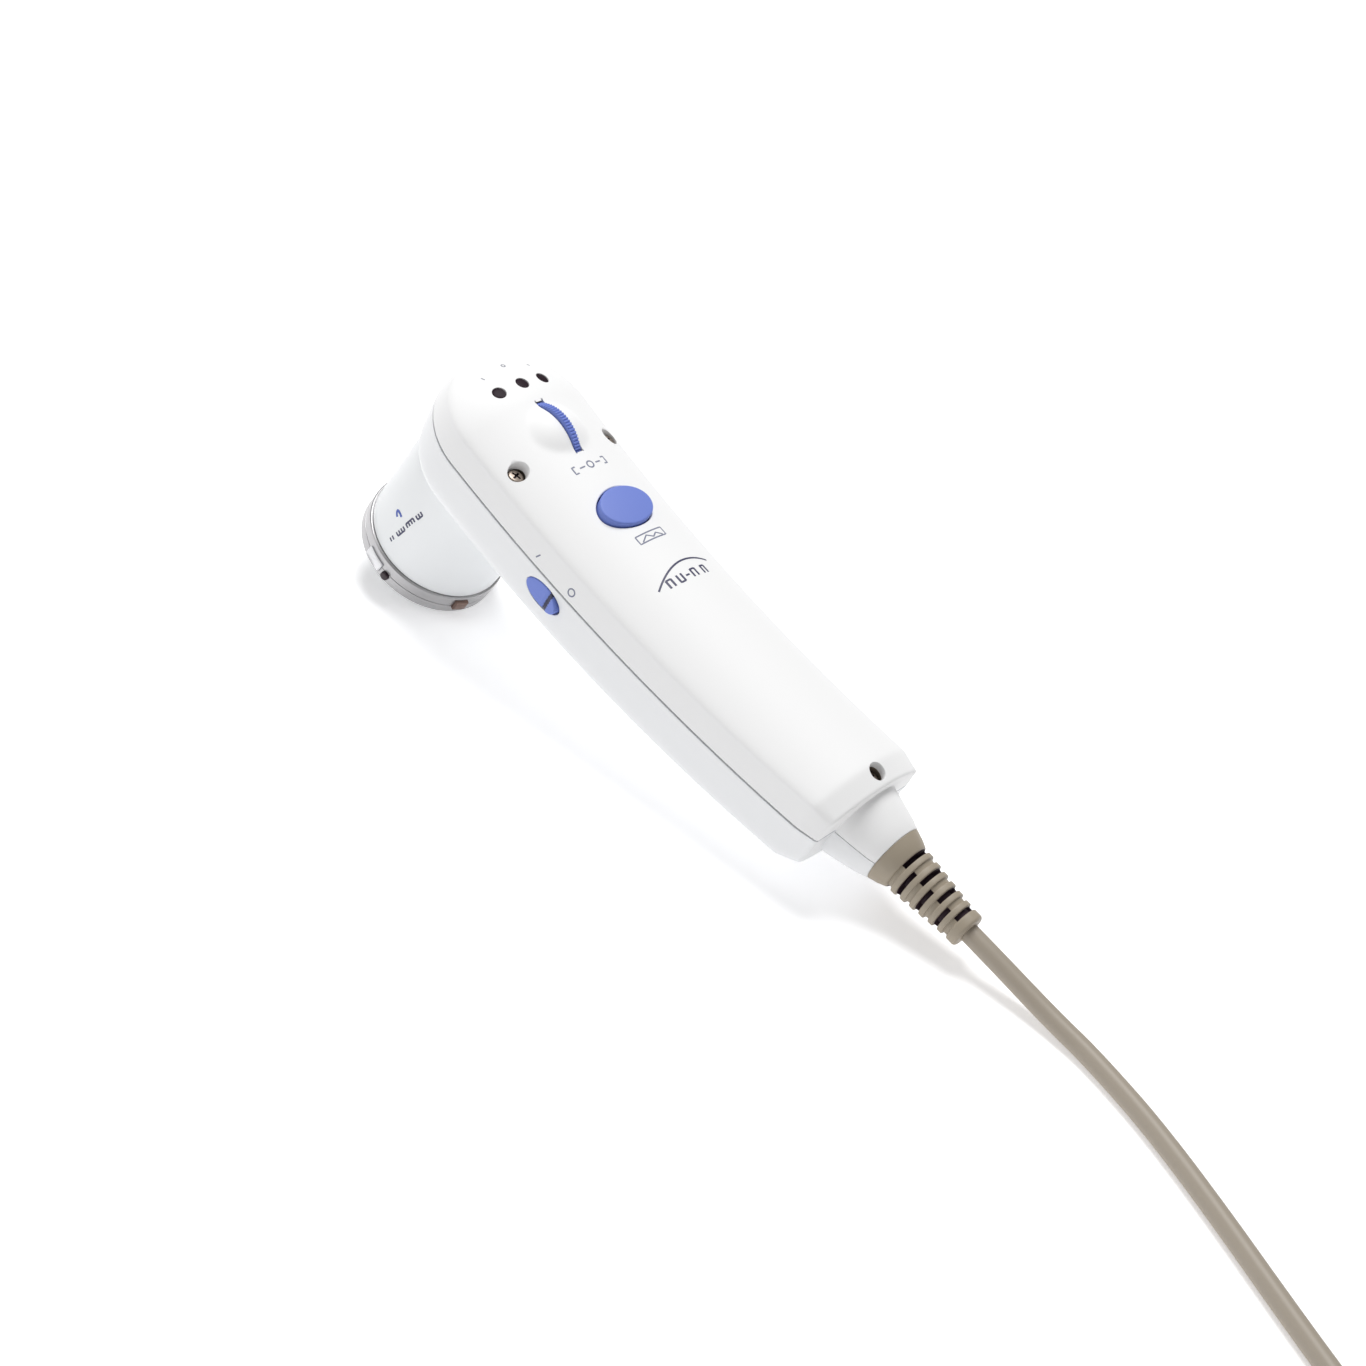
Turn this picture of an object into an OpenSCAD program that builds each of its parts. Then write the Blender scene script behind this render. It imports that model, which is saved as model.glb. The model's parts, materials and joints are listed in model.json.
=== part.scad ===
// Handheld skin-inspection video camera with a USB cable. Millimetres.
// The device frame has X from the head towards the cable, Y across with the power
// switch on -Y, Z up through the face. stand() tips it onto the table (+Z up).

/* [Body] */
// Half-width of the head
head_w = 23; // [22:0.1:24]
// Length of the rounded head, from its tip to its widest point
head_len = 21.8; // [20:0.1:23]
// Length of the body, tip of the head to the end wall
body_len = 151.5; // [150:0.5:154]
// Half-width of the body at its end wall
tail_w = 19.5; // [19:0.1:20]
// Height of the face edge above the parting line
edge_h = 7.75; // [7.5:0.05:8.5]
// Rise of the face above its edge at mid length
crown_h = 7.3; // [6.5:0.1:8]
// Depth of the rear cover below the parting line
rear_h = 13.8; // [13.5:0.1:14.5]
// Wall thickness of both covers
wall = 2.0; // [1.8:0.1:2.2]

/* [Barrel] */
// Lean of the barrel axis from the device's Z axis, in degrees
barrel_lean = 7.56; // [7:0.1:8]
// Outer radius of the sleeve at its root
sleeve_r = 19.55; // [19.3:0.05:19.7]
// Outer radius of the front ring
ring_r = 19.77; // [19.5:0.01:20]
// Radius of the open bore at the front of the ring
ring_bore_r = 16.6; // [16.2:0.1:16.8]

/* [Controls] */
// Radius of the focus wheel
wheel_r = 10.6; // [10.4:0.1:10.8]
// Half-length of the oval image button across the body
button_b = 8.2; // [7.8:0.1:8.6]
// Half-length of the oval image button along the body
button_a = 5.8; // [5.5:0.1:6.2]

/* [Cable] */
// Diameter of the cable
cable_d = 5.0; // [4.8:0.1:5.2]
// Diameter across the coil at the middle of its turns
coil_d = 60; // [56:1:60]
// Turns of cable side by side in each of the coil's two layers
coil_rows = 4; // [3:1:4]

/* [Pose] */
// Angle that the body is tipped, tail down, when it stands on its ring and cable
tilt = 17.4; // [17.4:0.1:17.5]

/* [Hidden] */

// Colours
white = [0.95, 0.95, 0.95];
blue = [0.42, 0.47, 0.80];
beige = [0.62, 0.58, 0.52];
metal = [0.66, 0.66, 0.64];
dark = [0.12, 0.10, 0.12];
board = [0.10, 0.36, 0.22];

// Arch of the parting line, and the crown of the face along the body
arch_x = 60;
arch_k = 0.001;
arch_slope = -0.015;
crown_x = 66;
crown_fall = 1.7;
function parting_z(x) = arch_k * pow(x - arch_x, 2) + arch_slope * (x - arch_x);
function crown(x) = crown_h - crown_fall * pow((x - crown_x) / 85, 2);
function rear_depth(x) = rear_h - 1.7 * pow((x - arch_x) / 100, 2);

// Bevelled tail: the end closes in over its last millimetres
bevel_x = 145.6;
bevel_in = 1.0;
bevel_drop = 2.0;
edge_in = 1.5;
// Extra depth of the rear cover along its middle
belly = 2.0;
function bevel(x) = max(0, (x - bevel_x) / (body_len - bevel_x));
function side_w(x) = head_w + (tail_w - head_w) * (x - head_len) / (body_len - head_len);
// Height of the face at a point; on the head the crown falls away radially
function span_at(v) = norm(v) / norm([v[0] / head_len, v[1] / head_w]);
function face_z(x, y) = let (v = [min(x - head_len, 0), y],
    w = x > head_len ? side_w(x) : norm(v) == 0 ? head_w : span_at(v))
    parting_z(x) + edge_h + crown(x) * (1 - pow(norm(v) / (w - edge_in), 2));

// Outline at the parting line, from the tail on +Y round the head to the tail on -Y
straight_x = [body_len, bevel_x, 132, 116, 100, 84, 70, 57, 45, 33];
head_step = 15;
function outline(t) = concat(
    [for (x = straight_x) [x - (x == body_len ? t : 0), side_w(x) - t]],
    [for (a = [90 : head_step : 270])
        [head_len + (head_len - t) * cos(a), (head_w - t) * sin(a)]],
    [for (i = [len(straight_x) - 1 : -1 : 0]) let (x = straight_x[i])
        [x - (x == body_len ? t : 0), t - side_w(x)]]);

// One point of a cover: moved in from the outline by d, raised by h
function inward(p) = let (v = [max(p[0], head_len), 0] - p) v / norm(v);
function reach(p) = norm([max(p[0], head_len), 0] - p);
function face_level(p, t, f, drop) = let (d = edge_in + f * (reach(p) - edge_in),
    q = p + inward(p) * d, up = edge_h - t + crown(q[0]) * (1 - pow(1 - f, 2)))
    [q[0], q[1], parting_z(q[0]) + up - drop * bevel(p[0])];
function rear_level(p, t, f, drop) = let (d = 3.4 + f * (reach(p) - 3.4),
    q = p + inward(p) * d, down = rear_depth(q[0]) - t + belly * (1 - pow(1 - f, 2)))
    [q[0], q[1], parting_z(q[0]) - down + drop * bevel(p[0])];
function wall_level(p, d, h) = let (q = p + inward(p) * (d + bevel_in * bevel(p[0])))
    [q[0], q[1], parting_z(q[0]) + h];

face_steps = [0.2, 0.4, 0.6, 0.8, 0.96];
top_round = [[0, 0], [1.3, 6.4], [1.6, 7.4], [2.2, 8.1], [3.2, 8.7]];
top_inner = [[0, -1], [1.2, 5.2], [2.4, 6.4]];
rear_round = [[0, 0], [0.3, 10.6], [0.8, 12.4], [1.8, 13.5], [3.4, 13.8]];
rear_inner = [[0, -1], [0.3, 9.6], [2.0, 11.6]];

function top_points(t, rim) = let (o = outline(t)) concat(
    [for (l = rim) [for (p = o) wall_level(p, l[0], l[1] - bevel_drop * bevel(p[0]) * l[1] / 8)]],
    [for (f = face_steps) [for (p = o) face_level(p, t, f, bevel_drop)]]);
function rear_points(t, rim) = let (o = outline(t)) concat(
    [for (l = rim) [for (p = o) wall_level(p, l[0],
        (bevel_drop * bevel(p[0]) - rear_depth(p[0])) * l[1] / rear_h)]],
    [for (f = face_steps) [for (p = o) rear_level(p, t, f, bevel_drop)]]);

// Closed solid through levels of outline points, mirrored about the centre line
module loft(levels, flip) {
    n = len(levels[0]);
    m = len(levels);
    half = (n - 1) / 2;
    points = [for (l = levels) each l];
    sides = [for (j = [0 : m - 2], i = [0 : n - 2])
        each [[j * n + i, j * n + i + 1, (j + 1) * n + i + 1],
              [j * n + i, (j + 1) * n + i + 1, (j + 1) * n + i]]];
    tail = concat([for (j = [0 : m - 1]) j * n], [for (j = [m - 1 : -1 : 0]) j * n + n - 1]);
    caps = [for (j = [0, m - 1], i = [0 : half - 1]) let (
        a = j * n + i, b = j * n + i + 1, c = j * n + n - 2 - i, d = j * n + n - 1 - i,
        quad = b == c ? [a, b, d] : [a, b, c, d])
        j == 0 ? [for (k = [len(quad) - 1 : -1 : 0]) quad[k]] : quad];
    faces = concat(sides, [tail], caps);
    polyhedron(points, flip ? [for (f = faces) [for (k = [len(f) - 1 : -1 : 0]) f[k]]] : faces);
}

// Placements ------------------------------------------------------------------
barrel_x = head_len + 0.05;
// Radial and downward reach of the ring's lower rim, where it meets the table
rim_s = 49.04;
lean_x = sin(barrel_lean);
lean_z = cos(barrel_lean);
rim_x = barrel_x - rim_s * lean_x + ring_r * lean_z;
rim_z = -rim_s * lean_z - ring_r * lean_x;
stand_h = rim_x * sin(tilt) - rim_z * cos(tilt);
// Middle of the standing device along X
stand_x = 82.6;

module stand() { translate([-stand_x, 0, stand_h]) rotate([0, tilt, 0]) children(); }
// Barrel frame: Z along the barrel towards its front, X towards the tail
module in_barrel() {
    translate([barrel_x, 0, 0]) rotate([0, 180 + barrel_lean, 0]) rotate([0, 0, 180]) children();
}
// Cable frame: Z along the cable from the neck's rim
relief_x = 163.15;
relief_z = 5.2;
relief_up = 3.8;
module in_relief() { translate([relief_x, 0, relief_z]) rotate([0, 90 - relief_up, 0]) children(); }

module tube_of(r_out, r_in, h) {
    difference() {
        cylinder(r = r_out, h = h, $fn = 96);
        translate([0, 0, -1]) cylinder(r = r_in, h = h + 2, $fn = 96);
    }
}
module oval(a, b) { polygon([for (t = [0 : 7.5 : 352.5]) [a * cos(t), b * sin(t)]]); }
// Sector of a ring between two angles
module sector(r_in, r_out, from, to, h) {
    rotate([0, 0, from]) rotate_extrude(angle = to - from, $fn = 180)
        translate([r_in, 0]) square([r_out - r_in, h]);
}

// Covers ----------------------------------------------------------------------
clamp_x = 138;
clamp_y = 7.5;
function cable_z(x) = relief_z - (relief_x - x) * tan(relief_up);
neck_split = 6.5;
neck_r = 11.4;
rim_r = 8.2;
screw_x = 36;
screw_y = 16.5;
screw_r = 2.5;
screw_seat = 8.2;
tail_screw_x = 147.6;
led_x = 16;
led_y = [-7.7, 0, 7.7];
led_r = 1.8;
wheel_x = 30.5;
wheel_z = 8.8;
wheel_t = 2.0;
slot_l = 13;
slot_w = 2.6;
dome_r = 13;
dome_z = 5.2;
button_x = 57.5;
button_gap = 0.3;
rocker_x = 61.3;
rocker_z = -5.0;
rocker_a = 5.7;
rocker_b = 3.0;
rocker_y = -18.3;

module neck(part) {
    intersection() {
        in_relief() difference() {
            rotate_extrude($fn = 120) polygon([[0, -14.5], [neck_r, -14.5], [neck_r, -11.6],
                [neck_r - 0.5, -9.2], [neck_r - 1.4, -5.6], [rim_r + 0.9, -2.2], [rim_r, 0], [0, 0]]);
            translate([0, 0, -24]) cylinder(r = 5.6, h = 20.9, $fn = 96);
            translate([0, 0, -24]) cylinder(r = 4.4, h = 30, $fn = 96);
        }
        translate([149.6, -20, part == "top" ? neck_split : neck_split - 40]) cube([20, 40, 40]);
    }
}
module neck_bore() { in_relief() translate([0, 0, -24]) cylinder(r = 5.6, h = 20, $fn = 96); }

module top_cover() {
    color(white) union() {
        difference() {
            union() {
                difference() {
                    union() {
                        loft(top_points(0, top_round), true);
                        intersection() {
                            translate([wheel_x, 0, dome_z]) sphere(r = dome_r, $fn = 96);
                            translate([wheel_x, 0, 10]) cylinder(r = 9.6, h = 12, $fn = 96);
                        }
                    }
                    loft(top_points(wall, top_inner), true);
                }
                for (s = [-1, 1]) translate([screw_x, s * screw_y, 2.2])
                    cylinder(r = 3.9, h = 8, $fn = 48);
                translate([tail_screw_x, 0, bridge_z + 0.2]) cylinder(r = 3.6, h = 5, $fn = 48);
                for (s = [-1, 1]) translate([led_x, s * 3.85, 5.4]) cylinder(r = 1.1, h = 9.4, $fn = 32);
            }
            for (s = [-1, 1]) translate([screw_x, s * screw_y, 0]) {
                translate([0, 0, screw_seat]) cylinder(r = screw_r, h = 12, $fn = 48);
                cylinder(r = 1.35, h = 12, $fn = 48);
            }
            translate([tail_screw_x, 0, tail_seat]) cylinder(r = 2.3, h = 12, $fn = 48);
            translate([tail_screw_x, 0, 6]) cylinder(r = 1.35, h = 12, $fn = 48);
            for (y = led_y) translate([led_x, y, 5]) cylinder(r = led_r, h = 12, $fn = 48);
            translate([wheel_x - slot_l / 2, -slot_w / 2, 10]) cube([slot_l, slot_w, 12]);
            translate([wheel_x, 0, wheel_z]) rotate([90, 0, 0])
                cylinder(r = wheel_r + 0.5, h = slot_w, center = true, $fn = 96);
            translate([button_x, 0, 5]) linear_extrude(14)
                oval(button_a + button_gap, button_b + button_gap);
            // Clearance for the gear on the axle
            translate([wheel_x, gear_y + gear_t, wheel_z]) rotate([90, 0, 0])
                cylinder(r = 4, h = 5, $fn = 48);
            neck_bore();
        }
        neck("top");
    }
}

// Bridge over the cable that takes the tail screw
bridge_z = 10.4;
tail_seat = 14.6;
module bridge() {
    difference() {
        translate([tail_screw_x - 2.6, -8, -5.5]) cube([4.4, 16, bridge_z + 5.5]);
        translate([tail_screw_x - 4, -5.9, -7]) cube([8, 11.8, 14.6]);
        translate([tail_screw_x, 0, 7]) cylinder(r = 1.0, h = 8, $fn = 48);
    }
}

module rear_cover() {
    color(white) union() {
        difference() {
            union() {
                difference() {
                    loft(rear_points(0, rear_round), false);
                    loft(rear_points(wall, rear_inner), false);
                }
                for (s = [-1, 1]) translate([screw_x, s * screw_y, -12.6])
                    cylinder(r = 3.9, h = 14.6, $fn = 48);
                for (x = board_x, s = [-1, 1])
                    translate([x, s * board_hole_y, parting_z(x) - rear_depth(x) + 0.6])
                        cylinder(r = 2.4, h = board_z - parting_z(x) + rear_depth(x) - 0.6, $fn = 48);
                for (s = [-1, 1]) translate([clamp_x, s * clamp_y, parting_z(clamp_x) - rear_h + 2])
                    cylinder(r = 2.4, h = cable_z(clamp_x) - 0.6 - parting_z(clamp_x) + rear_h - 2, $fn = 48);
            }
            for (s = [-1, 1]) translate([screw_x, s * screw_y, -8]) cylinder(r = 1.0, h = 12, $fn = 48);
            for (x = board_x, s = [-1, 1]) translate([x, s * board_hole_y, board_z - 6])
                cylinder(r = 0.75, h = 8, $fn = 48);
            in_barrel() translate([0, 0, 4]) cylinder(r = sleeve_r + 0.05, h = 26, $fn = 180);
            translate([rocker_x, -15, rocker_z]) rotate([90, 0, 0]) linear_extrude(12)
                oval(rocker_a + 0.4, rocker_b + 0.4);
            for (s = [-1, 1]) translate([clamp_x, s * clamp_y, -4]) cylinder(r = 1.0, h = 12, $fn = 48);
            neck_bore();
        }
        bridge();
        neck("rear");
    }
}

// Barrel ----------------------------------------------------------------------
sleeve_top = 7;
throat_r = 15;
throat_end = 19;
sleeve_bore = 17.5;
sleeve_end = 42.7;
nose_r = 18.2;
seal_s = 10.4;
seal_r = 0.75;
module barrel_sleeve() {
    color(white) in_barrel() difference() {
        rotate_extrude($fn = 180) polygon([[throat_r, sleeve_top], [sleeve_r, sleeve_top],
            [sleeve_r, 18.2], [19.05, sleeve_end], [nose_r, sleeve_end], [nose_r, 45.2],
            [sleeve_bore, 45.2], [sleeve_bore, throat_end], [throat_r, throat_end]]);
        translate([0, 0, seal_s - 0.8]) tube_of(sleeve_r + 1, sleeve_r - 1.5, 1.6);
    }
}
module barrel_seal() {
    color(dark) in_barrel() translate([0, 0, seal_s])
        rotate_extrude($fn = 120) translate([sleeve_r - 0.72, 0]) circle(r = seal_r, $fn = 24);
}
// Front ring: turns on the sleeve's nose to lock a snap-on tip
index_from = 87;
index_to = 105;
clip_from = 12;
clip_to = 23;
pin_at = 81;
module front_ring() {
    color(metal) in_barrel() difference() {
        rotate_extrude($fn = 180) polygon([[nose_r + 0.05, sleeve_end + 0.1],
            [ring_r - 0.25, sleeve_end + 0.1], [ring_r, sleeve_end + 0.35], [ring_r, rim_s],
            [ring_bore_r, rim_s], [ring_bore_r, 45.4], [nose_r + 0.05, 45.4]]);
        translate([0, 0, 45]) sector(19.0, 21, index_from, index_to, 3);
        translate([0, 0, 43.6]) sector(19.0, 21, clip_from, clip_to, 3.2);
        rotate([0, 0, pin_at]) translate([18.2, 0, 47.1]) rotate([0, 90, 0])
            cylinder(r = 1.25, h = 3, $fn = 48);
    }
}
module ring_index() {
    color(white) in_barrel() translate([0, 0, 45]) sector(19.0, 20.4, index_from, index_to, 3);
}
module ring_clip() {
    color([0.36, 0.27, 0.24]) in_barrel() translate([0, 0, 43.6])
        sector(19.0, 20.7, clip_from, clip_to, 3.2);
}
module ring_pin() {
    color(dark) in_barrel() rotate([0, 0, pin_at]) translate([18.9, 0, 47.1]) rotate([0, 90, 0])
        cylinder(r = 1.2, h = 1.7, $fn = 48);
}
module front_window() {
    color([0.8, 0.9, 0.95]) in_barrel() translate([0, 0, 43.2]) cylinder(r = 17.45, h = 1.4, $fn = 120);
}
led_board_s = 38.6;
led_ring_r = 13.6;
led_count = 8;
module led_board() {
    color(board) in_barrel() translate([0, 0, led_board_s]) tube_of(17.45, 9.9, 1.2);
}
module white_leds() {
    color([0.95, 0.93, 0.8]) in_barrel() for (k = [0 : led_count - 1])
        rotate([0, 0, (k + 0.5) * 360 / led_count]) translate([led_ring_r, 0, led_board_s + 1.2]) {
            translate([-1.7, -1.5, 0]) cube([3.4, 3, 0.8]);
            translate([0, 0, 0.8]) cylinder(r1 = 1.3, r2 = 0.9, h = 0.7, $fn = 32);
        }
}

// Focusing optics ---------------------------------------------------------------
rod_r = 1.25;
rod_at = 13;
rod_angles = [135, -45];
cell_s = 24;
lens_r = 7.6;
module lens_cell() {
    color(dark) in_barrel() difference() {
        union() {
            translate([0, 0, cell_s]) cylinder(r = 15.6, h = 2.5, $fn = 120);
            translate([0, 0, cell_s - 3]) cylinder(r = 9.0, h = 13, $fn = 120);
        }
        translate([0, 0, cell_s - 5]) cylinder(r = lens_r - 0.8, h = 20, $fn = 96);
        translate([0, 0, cell_s - 1]) cylinder(r = lens_r + 0.03, h = 20, $fn = 96);
        for (a = rod_angles) rotate([0, 0, a]) translate([rod_at, 0, cell_s - 1])
            cylinder(r = rod_r + 0.05, h = 5, $fn = 48);
    }
}
module objective_lens() {
    color([0.75, 0.85, 0.9]) in_barrel() intersection() {
        translate([0, 0, cell_s - 1]) cylinder(r = lens_r, h = 7, $fn = 96);
        translate([0, 0, cell_s - 1 + 14]) sphere(r = 14, $fn = 120);
        translate([0, 0, cell_s + 6 - 14]) sphere(r = 14, $fn = 120);
    }
}
module guide_rods() {
    color(metal) in_barrel() for (a = rod_angles) rotate([0, 0, a]) translate([rod_at, 0, frame_s + 1])
        cylinder(r = rod_r, h = led_board_s - frame_s - 1, $fn = 48);
}

// Gear train: gear on the wheel's axle, idler, rack on the lens cell
tooth_m = 0.6;
wheel_teeth = 10;
idler_teeth = 16;
wheel_gear_r = tooth_m * wheel_teeth / 2;
idler_r = tooth_m * idler_teeth / 2;
gear_y = -9.2;
gear_t = 2.2;
gear_u = (wheel_x - barrel_x) * lean_z - wheel_z * lean_x;
gear_s = -(wheel_x - barrel_x) * lean_x - wheel_z * lean_z;
idler_s = gear_s + wheel_gear_r + idler_r + 0.06;
rack_u = gear_u - idler_r - 0.06;
function involute(b, t) = [b * (cos(t) + t * PI / 180 * sin(t)), b * (sin(t) - t * PI / 180 * cos(t))];
function turned(p, a) = [p[0] * cos(a) - p[1] * sin(a), p[0] * sin(a) + p[1] * cos(a)];
function flank_end(b, r) = sqrt(pow(r / b, 2) - 1) * 180 / PI;
module gear_outline(teeth) {
    r = tooth_m * teeth / 2;
    base = r * cos(20);
    root = r - 1.2 * tooth_m;
    tip = flank_end(base, r + 0.9 * tooth_m);
    pitch_t = flank_end(base, r);
    pitch_p = involute(base, pitch_t);
    half = 90 / teeth + atan2(pitch_p[1], pitch_p[0]) - 1.1;
    flank = [for (k = [0 : 4]) turned(involute(base, tip * k / 4), -half)];
    polygon([for (k = [0 : teeth - 1]) each concat(
        [turned([root, 0], k * 360 / teeth - half)],
        [for (p = flank) turned(p, k * 360 / teeth)],
        [for (i = [4 : -1 : 0]) turned([flank[i][0], -flank[i][1]], k * 360 / teeth)],
        [turned([root, 0], k * 360 / teeth + half)])]);
}
// In the barrel frame, gears lie in its XZ plane; turn is the angle of the first tooth
module gear(u, s, teeth, turn, bore) {
    in_barrel() translate([u, -gear_y, s]) rotate([90, 0, 0]) translate([0, 0, -gear_t])
        linear_extrude(gear_t) difference() {
            rotate([0, 0, turn]) gear_outline(teeth);
            circle(r = bore, $fn = 48);
        }
}
axle_r = 1.2;
axle_end = 12.6;
frame_gap = 0.05;
module focus_wheel() {
    color(blue) translate([wheel_x, wheel_t / 2, wheel_z]) rotate([90, 0, 0]) difference() {
        cylinder(r = wheel_r, h = wheel_t, $fn = 180);
        translate([0, 0, -1]) cylinder(r = axle_r, h = wheel_t + 2, $fn = 48);
        for (k = [0 : 35]) rotate([0, 0, k * 10]) translate([wheel_r + 0.25, 0, -1])
            cylinder(r = 0.55, h = wheel_t + 2, $fn = 16);
    }
}
module focus_axle() {
    color(metal) translate([wheel_x, axle_end, wheel_z]) rotate([90, 0, 0])
        cylinder(r = axle_r, h = axle_end * 2, $fn = 48);
}
// First teeth point at each other's gaps along the line of centres
module wheel_gear() { color([0.9, 0.88, 0.8]) gear(gear_u, gear_s, wheel_teeth, 90, axle_r); }
idler_phase = -90 + 180 / idler_teeth;
module idler_gear() { color([0.9, 0.88, 0.8]) gear(gear_u, idler_s, idler_teeth, idler_phase, 1.05); }
module idler_pin() {
    color(metal) in_barrel() translate([gear_u, -gear_y + 3.9, idler_s]) rotate([90, 0, 0])
        cylinder(r = 1.0, h = 4.6 + gear_t, $fn = 48);
}
rack_pitch = tooth_m * PI;
rack_back = 2.2;
rack_top = -7;
// A tooth of the rack stands in the idler's gap that faces it
rack_first = idler_s;
module focus_rack() {
    half = rack_pitch / 4 - 0.07;
    slope = tan(20);
    color([0.9, 0.88, 0.8]) in_barrel() translate([0, -gear_y, 0]) rotate([90, 0, 0])
        translate([0, 0, -gear_t]) linear_extrude(gear_t) {
            translate([rack_u - 0.75 - rack_back, rack_top]) square([rack_back, cell_s - rack_top]);
            for (k = [-2 : 5]) translate([rack_u, rack_first + k * rack_pitch])
                polygon([[-0.76, -half - 0.76 * slope], [0.5, -half + 0.5 * slope],
                         [0.5, half - 0.5 * slope], [-0.76, half + 0.76 * slope]]);
        }
}
frame_s = 10;
module side_plate(y) {
    translate([0, y, 0]) rotate([90, 0, 0]) linear_extrude(1.3) difference() {
        polygon([[19.5, -11.2], [26.4, -11.6], [26.4, -7.4], [32.4, -6.5], [32.8, 8], [31.6, 10.6],
                 [29.4, 10.6], [27.0, 8], [19.5, -7]]);
        translate([wheel_x, wheel_z]) circle(r = axle_r + frame_gap, $fn = 48);
    }
}
module optics_frame() {
    color([0.25, 0.25, 0.27]) difference() {
        union() {
            difference() {
                union() {
                    in_barrel() translate([0, 0, frame_s]) cylinder(r = throat_r - 0.02, h = 2, $fn = 120);
                    in_barrel() for (x = [-7, 7], y = [-7, 7]) translate([x, y, 6.6])
                        cylinder(r = 1.2, h = frame_s - 6.5, $fn = 24);
                }
                in_barrel() translate([0, 0, 5]) cylinder(r = 6, h = 10, $fn = 96);
                in_barrel() for (a = rod_angles) rotate([0, 0, a]) translate([rod_at, 0, 11])
                    cylinder(r = rod_r, h = 4, $fn = 48);
                in_barrel() translate([rack_u - 3.4, -gear_y - 0.4, 5]) cube([4.6, gear_t + 0.8, 10]);
            }
            side_plate(-11.5);
            side_plate(11);
        }
        in_barrel() translate([gear_u, 20, idler_s]) rotate([90, 0, 0]) cylinder(r = 1.0, h = 10, $fn = 48);
    }
}
module sensor_board() {
    color(board) in_barrel() translate([-8.4, -8.4, 5]) cube([16.8, 16.8, 1.6]);
}
module image_sensor() { color(dark) in_barrel() translate([-4.5, -4.5, 6.6]) cube([9, 9, 1.2]); }
module filter_glass() {
    color([0.6, 0.75, 0.8]) in_barrel() translate([-3.8, -3.8, 7.8]) cube([7.6, 7.6, 0.8]);
}

// Controls ------------------------------------------------------------------------
button_top = 16.1;
board_z = 1.2;
board_t = 1.6;
board_x = [51, 122];
board_hole_y = 11;
switch_h = 3.4;
plunger_r = 1.6;
module image_button() {
    color(blue) translate([button_x, 0, 0]) {
        intersection() {
            translate([0, 0, 10.6]) linear_extrude(8) oval(button_a, button_b);
            translate([0, 0, button_top - 30]) sphere(r = 30, $fn = 180);
        }
        translate([0, 0, 9.4]) linear_extrude(1.2) oval(button_a + 1.4, button_b + 1.4);
        translate([0, 0, 7.4]) cylinder(r = 2.2, h = 2.2, $fn = 48);
    }
}
module switch_plunger() {
    color(dark) translate([button_x, 0, board_z + board_t + 2]) cylinder(r = plunger_r, h = 2.6, $fn = 48);
}
module button_switch() {
    color([0.2, 0.2, 0.2]) translate([button_x, 0, board_z + board_t]) difference() {
        translate([-3.1, -3.1, 0]) cube([6.2, 6.2, switch_h]);
        translate([0, 0, 0.9]) cylinder(r = plunger_r + 0.06, h = 5, $fn = 48);
    }
}
// The rocker leans towards its "off" end at rest
rocker_lean = 5;
module power_rocker() {
    color(blue) translate([rocker_x, rocker_y, rocker_z]) rotate([0, 0, -rocker_lean]) difference() {
        union() {
            rotate([90, 0, 0]) intersection() {
                translate([0, 0, 0.6]) linear_extrude(6) oval(rocker_a, rocker_b);
                rotate([90, 0, 0]) linear_extrude(8, center = true)
                    polygon([[-7, 0], [-7, 4.5], [0, 3.6], [7, 4.5], [7, 0]]);
            }
            cylinder(r = 1.6, h = 4, center = true, $fn = 48);
        }
        cylinder(r = 0.8, h = 10, center = true, $fn = 48);
    }
}
module rocker_switch() {
    color(dark) union() {
        difference() {
            translate([rocker_x - 7, -18.9, rocker_z - 3.9]) cube([14, 8.4, 7.6]);
            translate([rocker_x - 6.3, -19.5, rocker_z - 2.4]) cube([12.6, 6.2, 4.8]);
            translate([rocker_x - 6.3, -19.5, rocker_z - 3.4]) cube([12.6, 1.3, 6.8]);
        }
        translate([rocker_x, rocker_y, rocker_z - 3.0]) cylinder(r = 0.75, h = 6, $fn = 48);
        for (k = [-1 : 1]) translate([rocker_x + k * 4 - 0.5, -13.4, rocker_z + 3.6])
            cube([1, 0.6, board_z - rocker_z - 3.6]);
    }
}
window_l = 4.5;
module led_windows() {
    color(dark) for (y = led_y) translate([led_x, y, face_z(led_x, y) - window_l - 0.3]) {
        cylinder(r = led_r - 0.04, h = window_l, $fn = 48);
        cylinder(r = led_r + 0.5, h = 0.8, $fn = 48);
    }
}
module indicator_leds() {
    color([0.7, 0.3, 0.3]) {
        for (y = led_y) translate([led_x, y, 5.4]) {
            cylinder(r = 1.1, h = 2.2, $fn = 32);
            translate([0, 0, 2.2]) sphere(r = 1.1, $fn = 32);
        }
        translate([led_x - 2, -11, 4.2]) cube([4, 22, 1.2]);
    }
}

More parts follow.
